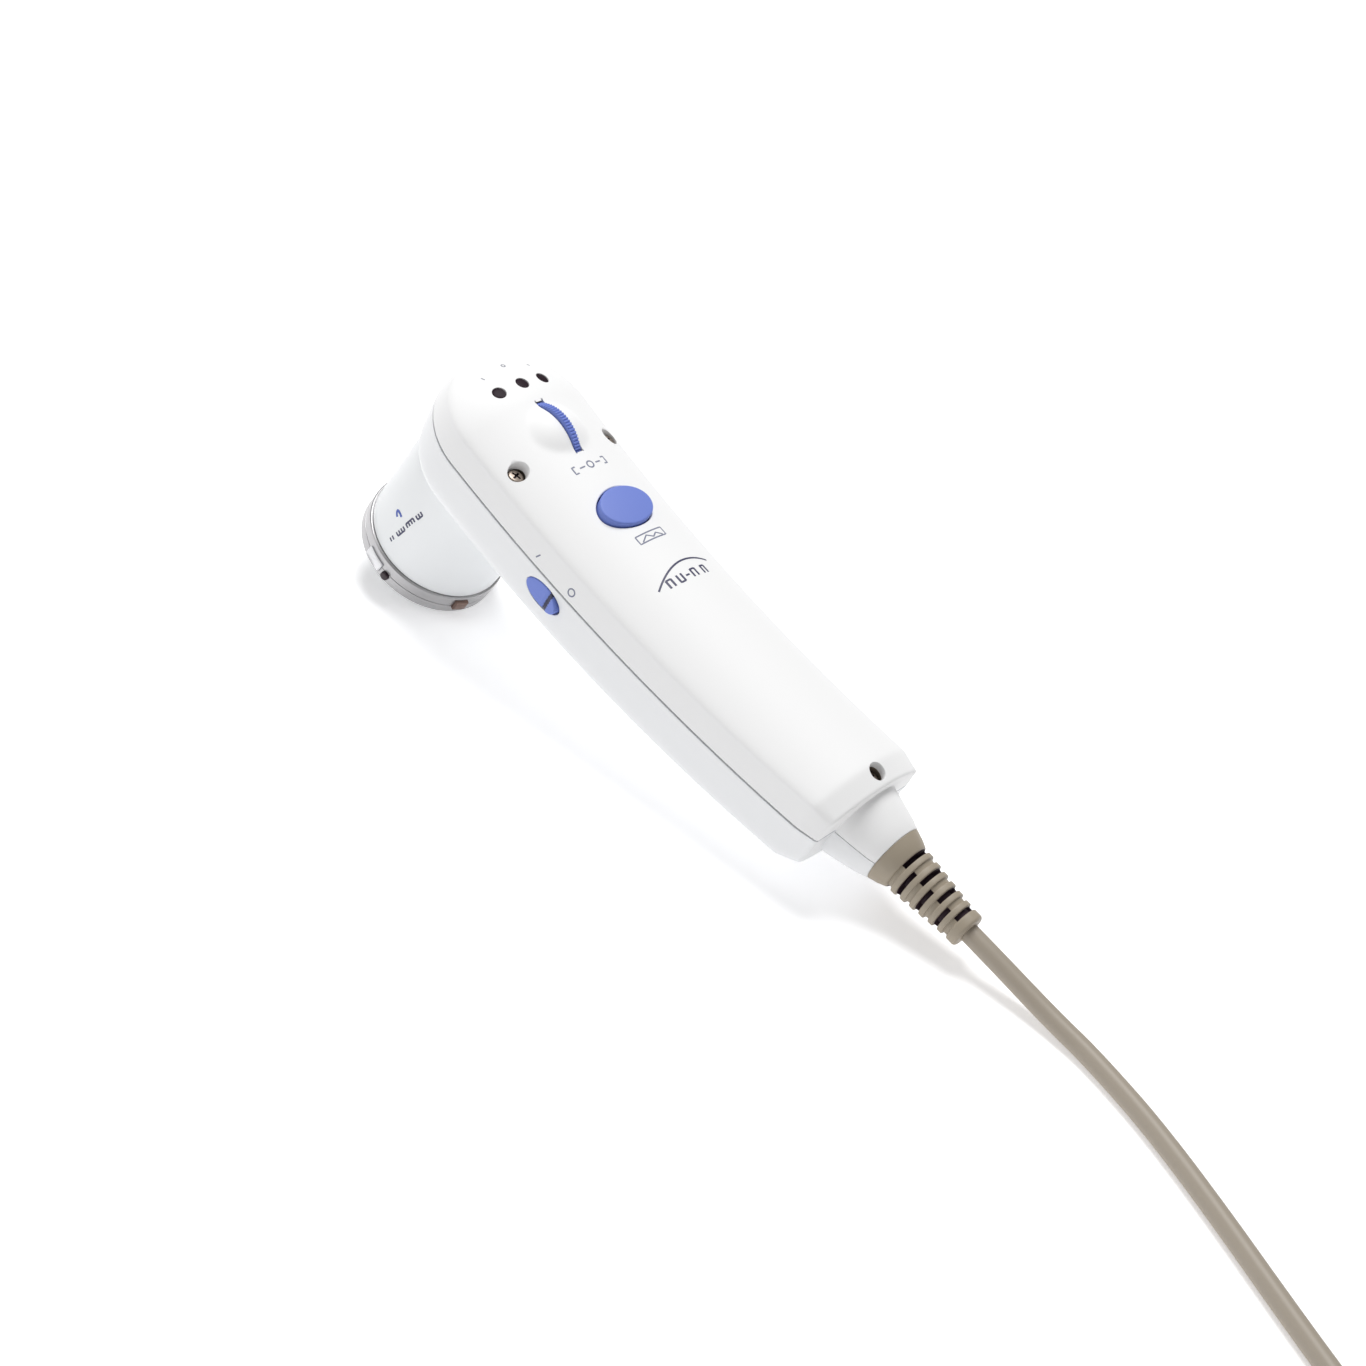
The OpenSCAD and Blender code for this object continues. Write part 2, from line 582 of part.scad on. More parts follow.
// Electronics and fasteners -----------------------------------------------------------
module main_board() {
    color(board) translate([46, -14, board_z]) difference() {
        cube([82, 28, board_t]);
        for (x = board_x, s = [-1, 1]) translate([x - 46, 14 + s * board_hole_y, -1])
            cylinder(r = 1.1, h = 4, $fn = 48);
    }
}
module board_chips() {
    color(dark) translate([0, 0, board_z + board_t]) {
        translate([70, -6, 0]) cube([12, 12, 1.4]);
        translate([88, -4.5, 0]) cube([8, 9, 1.2]);
        translate([102, -3, 0]) cube([5, 6, 2.6]);
        for (k = [0 : 3]) translate([72 + k * 7, 8, 0]) cylinder(r = 1.6, h = 3.2, $fn = 32);
        for (k = [0 : 3]) translate([70 + k * 6, -11.5, 0]) cube([3, 1.8, 1.1]);
    }
}
module board_screws() {
    color(metal) for (x = board_x, s = [-1, 1]) translate([x, s * board_hole_y, board_z + board_t]) {
        cylinder(r = 1.8, h = 1.1, $fn = 32);
        translate([0, 0, -6]) cylinder(r = 0.72, h = 6.5, $fn = 32);
    }
}
module cross_screw(r, head, shank, length) {
    difference() {
        union() {
            cylinder(r = r, h = head, $fn = 48);
            translate([0, 0, -length]) cylinder(r = shank, h = length + 0.1, $fn = 48);
        }
        for (a = [0, 90]) rotate([0, 0, a]) translate([-1.1, -0.28, head - 0.7]) cube([2.2, 0.56, 1]);
    }
}
module cover_screws() {
    color([0.5, 0.45, 0.42]) for (s = [-1, 1]) translate([screw_x, s * screw_y, screw_seat])
        cross_screw(2.1, 1.6, 0.97, 14);
}
module tail_screw() {
    color([0.5, 0.45, 0.42]) translate([tail_screw_x, 0, tail_seat]) cross_screw(2.0, 1.6, 0.97, 6.4);
}
module harness_plug() { color(white) translate([116, -5, board_z + board_t]) cube([9, 10, 5]); }
cable_in = -34;
module inner_wires() {
    color([0.6, 0.2, 0.2]) for (k = [-1.5 : 1 : 1.5]) translate([125, k * 1.1, 3.6])
        rotate([0, 90, 0]) cylinder(r = 0.45, h = 4.1, $fn = 24);
}
module inner_cable() {
    color(beige) in_relief() translate([0, 0, cable_in])
        cylinder(r = cable_r, h = relief_l - cable_in, $fn = 64);
}
module cable_clamp() {
    color(white) difference() {
        translate([clamp_x - 3, -11, cable_z(clamp_x) - 0.6]) cube([6, 22, 4.6]);
        in_relief() translate([0, 0, cable_in - 5]) cylinder(r = cable_d / 2 + 0.02, h = 40, $fn = 64);
        for (s = [-1, 1]) translate([clamp_x, s * clamp_y, -5]) cylinder(r = 1.1, h = 20, $fn = 48);
    }
}
module clamp_screws() {
    color(metal) for (s = [-1, 1]) translate([clamp_x, s * clamp_y, cable_z(clamp_x) + 4]) {
        cylinder(r = 1.8, h = 1.2, $fn = 32);
        translate([0, 0, -7.5]) cylinder(r = 1.0, h = 8, $fn = 32);
    }
}

// Strain relief: collar, cone, ribs joined by a slim core, and an end collar
relief_l = 25.6;
rib_count = 6;
rib_from = 5.9;
rib_pitch = 2.8;
rib_t = 1.5;
slot_core = 3.3;
function rib_r(k) = 6.4 - 1.5 * k / (rib_count - 1);
module strain_relief() {
    color(beige) in_relief() difference() {
        union() {
            rotate_extrude($fn = 96) polygon([[0, -6], [5.5, -6], [5.5, -3.2], [4.3, -3.2], [4.3, 0.05],
                [rim_r - 0.1, 0.05], [7.3, 2.6], [6.4, 4.6], [5.7, 4.75], [4.15, 22.7], [4.75, 22.8],
                [4.75, 25.1], [4.2, relief_l], [0, relief_l]]);
            for (k = [0 : rib_count - 1]) translate([0, 0, rib_from + k * rib_pitch])
                rotate_extrude($fn = 96) polygon([[0, 0], [rib_r(k) - 0.4, 0], [rib_r(k), 0.4],
                    [rib_r(k), rib_t - 0.4], [rib_r(k) - 0.4, rib_t], [0, rib_t]]);
        }
        for (k = [0 : rib_count], side = [0, 180])
            rotate([0, 0, side + 90 * (k % 2)]) translate([0, 0, rib_from + (k - 1) * rib_pitch + rib_t + 0.05])
                sector(slot_core, 8.5, -50, 50, rib_pitch - rib_t - 0.1);
        translate([0, 0, -7]) cylinder(r = cable_r + 0.03, h = relief_l + 8, $fn = 96);
    }
}

// Free cable, in the table frame ------------------------------------------------------
// Middle of the cable at the relief's end
relief_end = [relief_x + relief_l * cos(relief_up), 0, relief_z + relief_l * sin(relief_up)];
function on_table(p) = [p[0] * cos(tilt) + p[2] * sin(tilt) - stand_x, p[1],
                        p[2] * cos(tilt) - p[0] * sin(tilt) + stand_h];
cable_r = cable_d / 2;
lie = cable_r + 0.02;
route = concat([for (off = [[0, 0, 0], [6, 0, -1.45], [12, 0, -2.95], [18, -0.15, -4.35],
        [24, -0.5, -5.5], [30, -1.1, -6.3], [37, -2.1, -6.8]]) on_table(relief_end) + off],
    [for (p = [[146, -4.6], [157, -8.2], [170, -13.4], [186, -20.6], [202, -28.2], [218, -35.6],
        [232, -41.6], [244, -45.8], [256, -48.6], [268, -49.5]]) [p[0], p[1], lie]]);
// The coil lies beyond the route's end, in two layers
coil_at = [268, -12, 0];
tube_sides = 10;
// Catmull-Rom curve through a list of points
function spline(p0, p1, p2, p3, t) = 0.5 * ((2 * p1) + (p2 - p0) * t
    + (2 * p0 - 5 * p1 + 4 * p2 - p3) * t * t + (3 * p1 - p0 - 3 * p2 + p3) * t * t * t);
function at(list, i) = list[max(0, min(len(list) - 1, i))];
function curve(list) = concat([for (i = [0 : len(list) - 2], t = [0, 0.5])
    spline(at(list, i - 1), at(list, i), at(list, i + 1), at(list, i + 2), t)], [list[len(list) - 1]]);
function heading(path, i, first) = let (v = i == 0 ? first : at(path, i + 1) - path[i - 1]) v / norm(v);
function ring_at(p, d) = let (side = cross([0, 0, 1], d), s = side / norm(side), up = cross(d, s))
    [for (k = [0 : tube_sides - 1]) p + cable_r * (s * cos(k * 360 / tube_sides + 18)
        + up * sin(k * 360 / tube_sides + 18))];
module swept(path, first) {
    m = tube_sides;
    last = len(path) - 1;
    points = [for (i = [0 : last]) each ring_at(path[i], heading(path, i, first))];
    faces = concat([[for (k = [0 : m - 1]) k]],
        [for (i = [0 : last - 1], k = [0 : m - 1]) let (a = i * m + k, b = i * m + (k + 1) % m)
            each [[a, a + m, b + m], [a, b + m, b]]],
        [[for (k = [m - 1 : -1 : 0]) last * m + k]]);
    polyhedron(points, faces);
}
module cable_tube() { color(beige) swept(curve(route), [cos(tilt - relief_up), 0, -sin(tilt - relief_up)]); }
module cable_lead() { color(beige) swept(curve(lead), [-sin(lead_from), cos(lead_from), 0]); }
coil_w = coil_rows * cable_d;
coil_h = 2 * cable_d;
coil_out = (coil_d + coil_w) / 2;
coil_in = (coil_d - coil_w) / 2;
module cable_coil() { color(beige) translate(coil_at) tube_of(coil_out, coil_in, coil_h); }
tie_t = 1.0;
tie_w = 6;
module coil_tie() {
    color(dark) translate(coil_at) difference() {
        translate([-tie_w / 2, coil_in - tie_t, 0]) cube([tie_w, coil_w + 2 * tie_t, coil_h + tie_t]);
        translate([0, 0, -1]) tube_of(coil_out + 0.02, coil_in - 0.02, coil_h + 1.02);
    }
}
// Lead from the top of the coil down to the plug, in the table frame
lead_from = -70;
lead_z = coil_h + cable_r;
coil_turn = coil_out - cable_r;
lead = [coil_at + [coil_turn * cos(lead_from), coil_turn * sin(lead_from), lead_z],
        [290.5, -43.4, 12.4], [301, -38.2, 10.8], [310, -31.8, 7.8], [316.5, -25, 5.2], [319.4, -19.5, 4.1],
        [320, -15, 3.8]];
// USB plug lying beside the coil: its Y runs from the cable's entry to the shell's mouth
plug_at = [320, -16, 0];
boot_l = 14;
plug_l = 26;
plug_w = 15.5;
plug_h = 7.6;
shell_l = 18.7;
shell_w = 12.0;
shell_h = 4.5;
seat_l = 6;
shell_y = boot_l + plug_l - seat_l;
module plug_body() {
    color(beige) translate(plug_at) difference() {
        union() {
            translate([-plug_w / 2, boot_l, 0]) cube([plug_w, plug_l, plug_h]);
            translate([0, 0, plug_h / 2]) rotate([-90, 0, 0])
                cylinder(r1 = 3.0, r2 = 3.7, h = boot_l + 0.1, $fn = 64);
        }
        translate([-shell_w / 2, shell_y, (plug_h - shell_h) / 2]) cube([shell_w, seat_l + 1, shell_h]);
        translate([0, -1, plug_h / 2]) rotate([-90, 0, 0]) cylinder(r = cable_r + 0.05, h = 12, $fn = 64);
    }
}
module plug_shell() {
    color(metal) translate(plug_at + [-shell_w / 2, shell_y, (plug_h - shell_h) / 2]) difference() {
        cube([shell_w, shell_l, shell_h]);
        translate([0.35, 3, 0.35]) cube([shell_w - 0.7, shell_l, shell_h - 0.7]);
    }
}
module plug_tongue() {
    color(dark) translate(plug_at + [-shell_w / 2 + 0.6, shell_y + 3, (plug_h - shell_h) / 2 + 0.4])
        cube([shell_w - 1.2, shell_l - 4, 1.8]);
}

stand() top_cover();
stand() rear_cover();
stand() barrel_sleeve();
stand() barrel_seal();
stand() front_ring();
stand() ring_index();
stand() ring_pin();
stand() ring_clip();
stand() front_window();
stand() led_board();
stand() white_leds();
stand() lens_cell();
stand() objective_lens();
stand() focus_rack();
stand() guide_rods();
stand() optics_frame();
stand() sensor_board();
stand() image_sensor();
stand() filter_glass();
stand() focus_wheel();
stand() focus_axle();
stand() wheel_gear();
stand() idler_gear();
stand() idler_pin();
stand() image_button();
stand() switch_plunger();
stand() button_switch();
stand() power_rocker();
stand() rocker_switch();
stand() led_windows();
stand() indicator_leds();
stand() main_board();
stand() board_chips();
stand() board_screws();
stand() cover_screws();
stand() tail_screw();
stand() harness_plug();
stand() inner_wires();
stand() inner_cable();
stand() cable_clamp();
stand() clamp_screws();
stand() strain_relief();
cable_tube();
cable_lead();
cable_coil();
coil_tie();
plug_body();
plug_shell();
plug_tongue();
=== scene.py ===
"""Handheld skin-inspection camera with a USB cable, on a pale floor."""

import json
import math

import bmesh
import bpy
import numpy as np
from mathutils import Matrix, Vector


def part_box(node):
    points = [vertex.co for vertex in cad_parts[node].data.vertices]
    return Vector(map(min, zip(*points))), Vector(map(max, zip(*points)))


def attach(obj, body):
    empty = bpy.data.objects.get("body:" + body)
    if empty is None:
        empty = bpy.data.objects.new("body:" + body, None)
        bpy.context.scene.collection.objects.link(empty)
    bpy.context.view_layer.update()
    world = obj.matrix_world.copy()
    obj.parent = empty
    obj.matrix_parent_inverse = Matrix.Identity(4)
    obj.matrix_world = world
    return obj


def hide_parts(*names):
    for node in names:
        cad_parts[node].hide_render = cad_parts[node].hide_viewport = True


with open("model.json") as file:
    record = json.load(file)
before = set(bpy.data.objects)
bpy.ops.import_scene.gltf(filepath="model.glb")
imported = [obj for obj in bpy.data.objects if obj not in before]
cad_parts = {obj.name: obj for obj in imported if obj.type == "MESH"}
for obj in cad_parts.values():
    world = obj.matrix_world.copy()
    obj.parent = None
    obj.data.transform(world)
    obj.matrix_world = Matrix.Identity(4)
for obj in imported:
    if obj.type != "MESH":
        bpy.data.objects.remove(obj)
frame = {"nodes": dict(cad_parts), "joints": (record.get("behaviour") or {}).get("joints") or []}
joints = {j["name"]: j for j in frame["joints"]}
MM = 0.001


def write_bounds():
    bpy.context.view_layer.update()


write_bounds()

# Frames: millimetres in the device, barrel or cable-relief frame to metres on the table ------
axis = joints["power_tilt"]["axis"]
TILT = math.atan2(axis[0], axis[2])
WHEEL = (30.5, 0.0, 8.8)
AXLE_X, AXLE_Z = WHEEL[0], WHEEL[2]
wheel_lo, wheel_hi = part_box("focus_axle")
wheel_mid = (wheel_lo + wheel_hi) / 2
TURN = Matrix.Rotation(TILT, 4, "Y")
SCALE = Matrix.Scale(MM, 4)
DEV = Matrix.Translation(wheel_mid - TURN.to_3x3() @ (Vector(WHEEL) * MM)) @ TURN @ SCALE
LEAN = math.radians(7.56)
BARREL = DEV @ Matrix.Translation((21.85, 0, 0)) @ Matrix(
    (
        (math.cos(LEAN), 0, -math.sin(LEAN), 0),
        (0, -1, 0, 0),
        (-math.sin(LEAN), 0, -math.cos(LEAN), 0),
        (0, 0, 0, 1),
    )
)
RELIEF_UP = math.radians(3.8)
RELIEF = DEV @ Matrix.Translation((163.15, 0, 5.2)) @ Matrix.Rotation(math.pi / 2 - RELIEF_UP, 4, "Y")
TABLE = SCALE


# Camera ---------------------------------------------------------------------------------------
def add_camera():
    cam = bpy.data.objects.new("Camera", bpy.data.cameras.new("Camera"))
    bpy.context.scene.collection.objects.link(cam)
    right = Vector((0.63759, 0.64263, 0.42486))
    up = Vector((-0.73213, 0.33385, 0.59375))
    back = Vector((0.23972, -0.68962, 0.68334))
    turn = TURN.to_3x3()
    m = Matrix((turn @ right, turn @ up, turn @ back)).transposed().to_4x4()
    m.translation = DEV @ Vector((230.05, -385.67, 372.12))
    cam.matrix_world = m
    cam.data.lens = 59.66
    cam.data.sensor_width = 36
    cam.data.clip_start = 0.01
    cam.data.clip_end = 20
    bpy.context.scene.camera = cam


add_camera()


# Materials ------------------------------------------------------------------------------------
def srgb(r, g, b):
    return tuple(
        ((c / 255 + 0.055) / 1.055) ** 2.4 if c > 10 else c / 255 / 12.92 for c in (r, g, b)
    ) + (1,)


def material(name, colour, rough=0.4, metal=0.0, grain=0.05, scale=900, coat=0.0, glass=0.0, glow=0.0):
    m = bpy.data.materials.new(name)
    m.use_nodes = True
    nt = m.node_tree
    bsdf = nt.nodes["Principled BSDF"]
    bsdf.inputs["Base Color"].default_value = colour
    bsdf.inputs["Roughness"].default_value = rough
    bsdf.inputs["Metallic"].default_value = metal
    bsdf.inputs["Coat Weight"].default_value = coat
    bsdf.inputs["Transmission Weight"].default_value = glass
    if glow:
        bsdf.inputs["Emission Color"].default_value = colour
        bsdf.inputs["Emission Strength"].default_value = glow
    where = nt.nodes.new("ShaderNodeTexCoord")
    noise = nt.nodes.new("ShaderNodeTexNoise")
    noise.inputs["Scale"].default_value = scale
    noise.inputs["Detail"].default_value = 3
    bump = nt.nodes.new("ShaderNodeBump")
    bump.inputs["Strength"].default_value = grain
    bump.inputs["Distance"].default_value = 0.0002
    nt.links.new(where.outputs["Object"], noise.inputs["Vector"])
    nt.links.new(noise.outputs["Fac"], bump.inputs["Height"])
    nt.links.new(bump.outputs["Normal"], bsdf.inputs["Normal"])
    return m


WHITE = material("white shell", srgb(240, 240, 240), 0.6)
REAR = material("white rear shell", srgb(229, 230, 231), 0.4, coat=0.05)
SLEEVE = material("white sleeve", srgb(229, 231, 232), 0.42)
GROOVE = material("parting shade", srgb(96, 102, 122), 0.6)
BLUE = material("control blue", srgb(108, 128, 206), 0.55, grain=0.08)
# Painted shadow: near-black navy on the rocker cap's valley faces stands in for the shade that falls in
# that valley.
NOTCH_SHADOW = material("rocker notch painted shadow", srgb(30, 32, 66), 0.5)
BEIGE = material("cable beige", srgb(160, 150, 136), 0.48, grain=0.15, scale=600)
BEIGE_RELIEF = material("relief beige", srgb(158, 147, 130), 0.5, grain=0.18, scale=700)
RING = material("satin metal", srgb(176, 175, 176), 0.34, 0.8, 0.1, 500)
RING_DARK = material("metal seam", srgb(120, 120, 122), 0.4, 0.7)
INDEX = material("index white", srgb(238, 238, 240), 0.4)
RIM = material("grey print", srgb(150, 152, 160), 0.6)
CLIP = material("clip brown", srgb(122, 98, 88), 0.45, 0.3)
DARK = material("near black", srgb(34, 8, 24), 0.5)
SLOT = material("slot shade", srgb(44, 14, 34), 0.7)
LENS = material("indicator window", srgb(30, 10, 24), 0.5)
LENS.node_tree.nodes["Principled BSDF"].inputs["Specular IOR Level"].default_value = 0.15
SCREW = material("screw metal", srgb(150, 138, 128), 0.35, 0.8, 0.2, 700)
SEAL = material("seal grey", srgb(188, 190, 198), 0.6)
PRINT = material("grey mark", srgb(124, 128, 148), 0.6)
PRINT_DARK = material("dark mark", srgb(62, 62, 92), 0.5)
PRINT_BLUE = material("blue mark", srgb(60, 84, 170), 0.5)
STEEL = material("plug steel", srgb(190, 192, 194), 0.25, 0.95, 0.05, 500)
TONGUE = material("tongue white", srgb(230, 230, 228), 0.4)
TIE = material("tie black", srgb(34, 34, 36), 0.5, grain=0.2)
GLASS = material("clear window", srgb(225, 235, 240), 0.05, glass=0.85)
GREEN = material("board green", srgb(34, 94, 62), 0.4, grain=0.2)
LED = material("white lamp", srgb(250, 244, 214), 0.25, glow=0.15)
NYLON = material("natural nylon", srgb(226, 218, 196), 0.45)
BLACK = material("black moulding", srgb(40, 40, 44), 0.45)
CHIP = material("chip black", srgb(28, 28, 30), 0.5)
WIRE = material("wire red", srgb(150, 44, 40), 0.4)
LAMP = material("lamp red", srgb(170, 60, 56), 0.3)

INSIDE = {
    "front_window": GLASS, "led_board": GREEN, "white_leds": LED, "lens_cell": BLACK,
    "objective_lens": GLASS, "focus_rack": NYLON, "guide_rods": STEEL, "optics_frame": BLACK,
    "sensor_board": GREEN, "image_sensor": CHIP, "filter_glass": GLASS, "focus_axle": STEEL,
    "wheel_gear": NYLON, "idler_gear": NYLON, "idler_pin": STEEL, "switch_plunger": CHIP,
    "button_switch": CHIP, "rocker_switch": BLACK, "indicator_leds": LAMP, "main_board": GREEN,
    "board_chips": CHIP, "board_screws": STEEL, "harness_plug": TONGUE, "inner_wires": WIRE,
    "inner_cable": BEIGE, "cable_clamp": WHITE, "clamp_screws": STEEL,
}
for node, mat in INSIDE.items():
    data = frame["nodes"][node].data
    data.materials.clear()
    data.materials.append(mat)
    data.polygons.foreach_set("material_index", np.zeros(len(data.polygons), dtype=np.int32))


# Mesh helpers ---------------------------------------------------------------------------------
def piece(name, verts, faces, mats, body="housing", space=DEV, index=None, sharp=32, stands_for=()):
    """A mesh object from points in one of the frames, fixed to a body."""
    m = np.array(space)
    pts = np.asarray(verts, dtype=float) @ m[:3, :3].T + m[:3, 3]
    mesh = bpy.data.meshes.new(name)
    mesh.from_pydata(pts.tolist(), [], [list(f) for f in faces])
    for mat in mats if isinstance(mats, (list, tuple)) else [mats]:
        mesh.materials.append(mat)
    if index is not None:
        mesh.polygons.foreach_set("material_index", np.asarray(index, dtype=np.int32))
    finish_mesh(mesh, sharp)
    obj = bpy.data.objects.new(name, mesh)
    bpy.context.scene.collection.objects.link(obj)
    if body:
        settle(obj, body, stands_for)
    return obj


def finish_mesh(mesh, sharp):
    bm = bmesh.new()
    bm.from_mesh(mesh)
    bmesh.ops.remove_doubles(bm, verts=bm.verts, dist=1e-7)
    bmesh.ops.dissolve_degenerate(bm, edges=bm.edges, dist=1e-8)
    bmesh.ops.recalc_face_normals(bm, faces=bm.faces)
    for f in bm.faces:
        f.smooth = True
    bm.to_mesh(mesh)
    bm.free()
    mesh.set_sharp_from_angle(angle=math.radians(sharp))
    mesh.update()


def settle(obj, body, stands_for=()):
    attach(obj, body)
    if stands_for:
        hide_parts(*stands_for)


def volume(mesh):
    bm = bmesh.new()
    bm.from_mesh(mesh)
    total = bm.calc_volume()
    bm.free()
    return total


def boolean(obj, tool, operation="DIFFERENCE"):
    """Cuts or joins. A cut that adds material, or takes more than its tool, is made again hole-tolerant."""
    mod = obj.modifiers.new("cut", "BOOLEAN")
    mod.operation = operation
    mod.solver = "EXACT"
    mod.object = tool
    before, most = volume(obj.data), volume(tool.data)
    best, least = None, None
    for tolerant in (False, True):
        mod.use_hole_tolerant = tolerant
        bpy.context.view_layer.update()
        made = bpy.data.meshes.new_from_object(obj.evaluated_get(bpy.context.evaluated_depsgraph_get()))
        taken = before - volume(made)
        fault = max(0.0, -taken, taken - most) if operation == "DIFFERENCE" else 0.0
        if best is None or fault < least:
            best, least = made, fault
        if fault == 0:
            break
    obj.modifiers.clear()
    old = obj.data
    obj.data = best
    bpy.data.meshes.remove(old)
    bpy.data.objects.remove(tool)


def loops(levels, closed=False, caps=True):
    """Faces through rings of equal length; closed joins the last ring to the first."""
    n, m = len(levels), len(levels[0])
    faces = []
    for j in range(n if closed else n - 1):
        k = (j + 1) % n
        for i in range(m):
            h = (i + 1) % m
            faces.append((j * m + i, j * m + h, k * m + h, k * m + i))
    if caps and not closed:
        faces.append(tuple(range(m - 1, -1, -1)))
        faces.append(tuple((n - 1) * m + i for i in range(m)))
    return [p for level in levels for p in level], faces


def rounded(points, radius, steps=4):
    """Closed 2-D outline with its corners rounded; radius is one number or one per corner."""
    out = []
    n = len(points)
    for i, p in enumerate(points):
        r = radius[i] if isinstance(radius, (list, tuple)) else radius
        a, b, c = (Vector(points[(i + k) % n]) for k in (-1, 0, 1))
        if r <= 0:
            out.append(tuple(b))
            continue
        u, v = (a - b).normalized(), (c - b).normalized()
        r = min(r, (a - b).length * 0.49, (c - b).length * 0.49)
        for k in range(steps + 1):
            t = k / steps
            out.append(tuple(b + u * r * (1 - t) ** 2 + v * r * t**2))
    return out


def lathe(
    name, outline, mats, body="housing", space=DEV, centre=(0, 0, 0), turns=128, stands_for=(), tool=False,
    to=None,
):
    """A closed (r, z) outline turned about Z at centre; outlines that touch r = 0 are closed there."""
    levels = [
        [
            (centre[0] + r * math.cos(a), centre[1] + r * math.sin(a), centre[2] + z)
            for a in (2 * math.pi * i / turns for i in range(turns))
        ]
        for r, z in outline
    ]
    if to:
        levels = [[to(p) for p in level] for level in levels]
    on_axis = outline[0][0] < 1e-6 or outline[-1][0] < 1e-6
    verts, faces = loops(levels, closed=not on_axis, caps=False)
    return piece(name, verts, faces, mats, None if tool else body, space, stands_for=stands_for)


def slab(
    name, outline, lo, hi, mats, edge=0.15, steps=3, body="housing", space=DEV, place=None, stands_for=(),
    tool=False,
):
    """A 2-D outline raised from lo to hi with rounded edges; place turns (x, y, z) into the frame."""
    pts = np.array(outline, dtype=float)
    nxt, prv = np.roll(pts, -1, 0), np.roll(pts, 1, 0)
    along = (nxt - prv) / np.maximum(np.linalg.norm(nxt - prv, axis=1, keepdims=True), 1e-9)
    area = np.sum(pts[:, 0] * nxt[:, 1] - nxt[:, 0] * pts[:, 1])
    inward = np.stack([-along[:, 1], along[:, 0]], 1) * (1 if area > 0 else -1)
    bottom = [
        (
            lo + edge * (1 - math.cos(math.pi / 2 * k / steps)),
            pts + inward * edge * (1 - math.sin(math.pi / 2 * k / steps)),
        )
        for k in range(steps + 1)
    ]
    top = [
        (
            hi - edge * (1 - math.cos(math.pi / 2 * k / steps)),
            pts + inward * edge * (1 - math.sin(math.pi / 2 * k / steps)),
        )
        for k in range(steps, -1, -1)
    ]
    place = place or (lambda p: p)
    rings = [[place((x, y, z)) for x, y in ring] for z, ring in bottom + top]
    verts, faces = loops(rings)
    return piece(name, verts, faces, mats, None if tool else body, space, stands_for=stands_for)


def oval(a, b, n=96):
    return [(a * math.cos(2 * math.pi * i / n), b * math.sin(2 * math.pi * i / n)) for i in range(n)]


def box(name, lo, hi, mats, edge=0.2, **more):
    pts = rounded(
        [(lo[0], lo[1]), (hi[0], lo[1]), (hi[0], hi[1]), (lo[0], hi[1])], more.pop("corner", edge),
    )
    return slab(name, pts, lo[2], hi[2], mats, edge, **more)


# Body shape: the same formulas as the CAD part -------------------------------------------------
HEAD_W, HEAD_LEN, BODY_LEN, TAIL_W = 23.0, 21.8, 151.5, 19.5
EDGE_H, CROWN_H, REAR_H, WALL = 7.75, 7.3, 13.8, 2.0
EDGE_IN, BELLY, TAIL_ROUND = 1.5, 2.0, 0.7
DOME_R, DOME_Z = 13.0, 5.2


def parting(x):
    return 0.001 * (x - 60) ** 2 - 0.015 * (x - 60)


def crown(x):
    return CROWN_H - 1.7 * ((x - 66) / 85) ** 2


def rear_depth(x):
    return REAR_H - 1.7 * ((x - 60) / 100) ** 2


def side_w(x):
    return HEAD_W + (TAIL_W - HEAD_W) * (x - HEAD_LEN) / (BODY_LEN - HEAD_LEN)


def bevel(x):
    t = x - 145.6
    return (t + np.sqrt(t * t + 0.1)) / 2 / 5.9


def end_round(x, length=BODY_LEN):
    t = np.clip(x - (length - TAIL_ROUND), 0, TAIL_ROUND)
    return TAIL_ROUND - np.sqrt(np.maximum(TAIL_ROUND**2 - t * t, 0))


def outline(t):
    """Points from the tail on +Y round the head to the tail on -Y, as an (n, 2) array."""
    end = BODY_LEN - t
    near = [end - TAIL_ROUND * (1 - math.sin(math.pi / 2 * k / 6)) for k in range(6, -1, -1)]
    xs = np.concatenate(
        [
            near, np.linspace(end - TAIL_ROUND - 0.5, 144.4, 9), np.linspace(143, 62, 58),
            np.linspace(61, 23, 44),
        ]
    )
    side = np.stack([xs, side_w(xs) - t], 1)
    a = np.radians(np.linspace(90, 270, 97))
    head = np.stack([HEAD_LEN + (HEAD_LEN - t) * np.cos(a), (HEAD_W - t) * np.sin(a)], 1)
    return np.concatenate([side, head, side[::-1] * [1, -1]])


def inward_reach(p):
    v = np.stack([np.maximum(p[:, 0], HEAD_LEN), np.zeros(len(p))], 1) - p
    n = np.linalg.norm(v, axis=1)
    return v / n[:, None], n


def dome(x, y, z):
    """Raises the face smoothly to the bump round the focus wheel."""
    r2 = (x - AXLE_X) ** 2 + y * y
    top = np.where(r2 < 150, DOME_Z + np.sqrt(np.maximum(DOME_R**2 - r2, 0)), -50)
    k = 0.22
    return z + k * np.log1p(np.exp(np.clip((top - z) / k, -40, 40)))


def face_at(p, t, f):
    way, far = inward_reach(p)
    d = EDGE_IN + f * (far - EDGE_IN)
    q = p + way * d[:, None]
    up = EDGE_H - t + crown(q[:, 0]) * (1 - (1 - f) ** 2)
    z = parting(q[:, 0]) + up - 2 * bevel(p[:, 0]) - end_round(p[:, 0])
    if t == 0:
        z = dome(q[:, 0], q[:, 1], z)
    return np.column_stack([q, z])


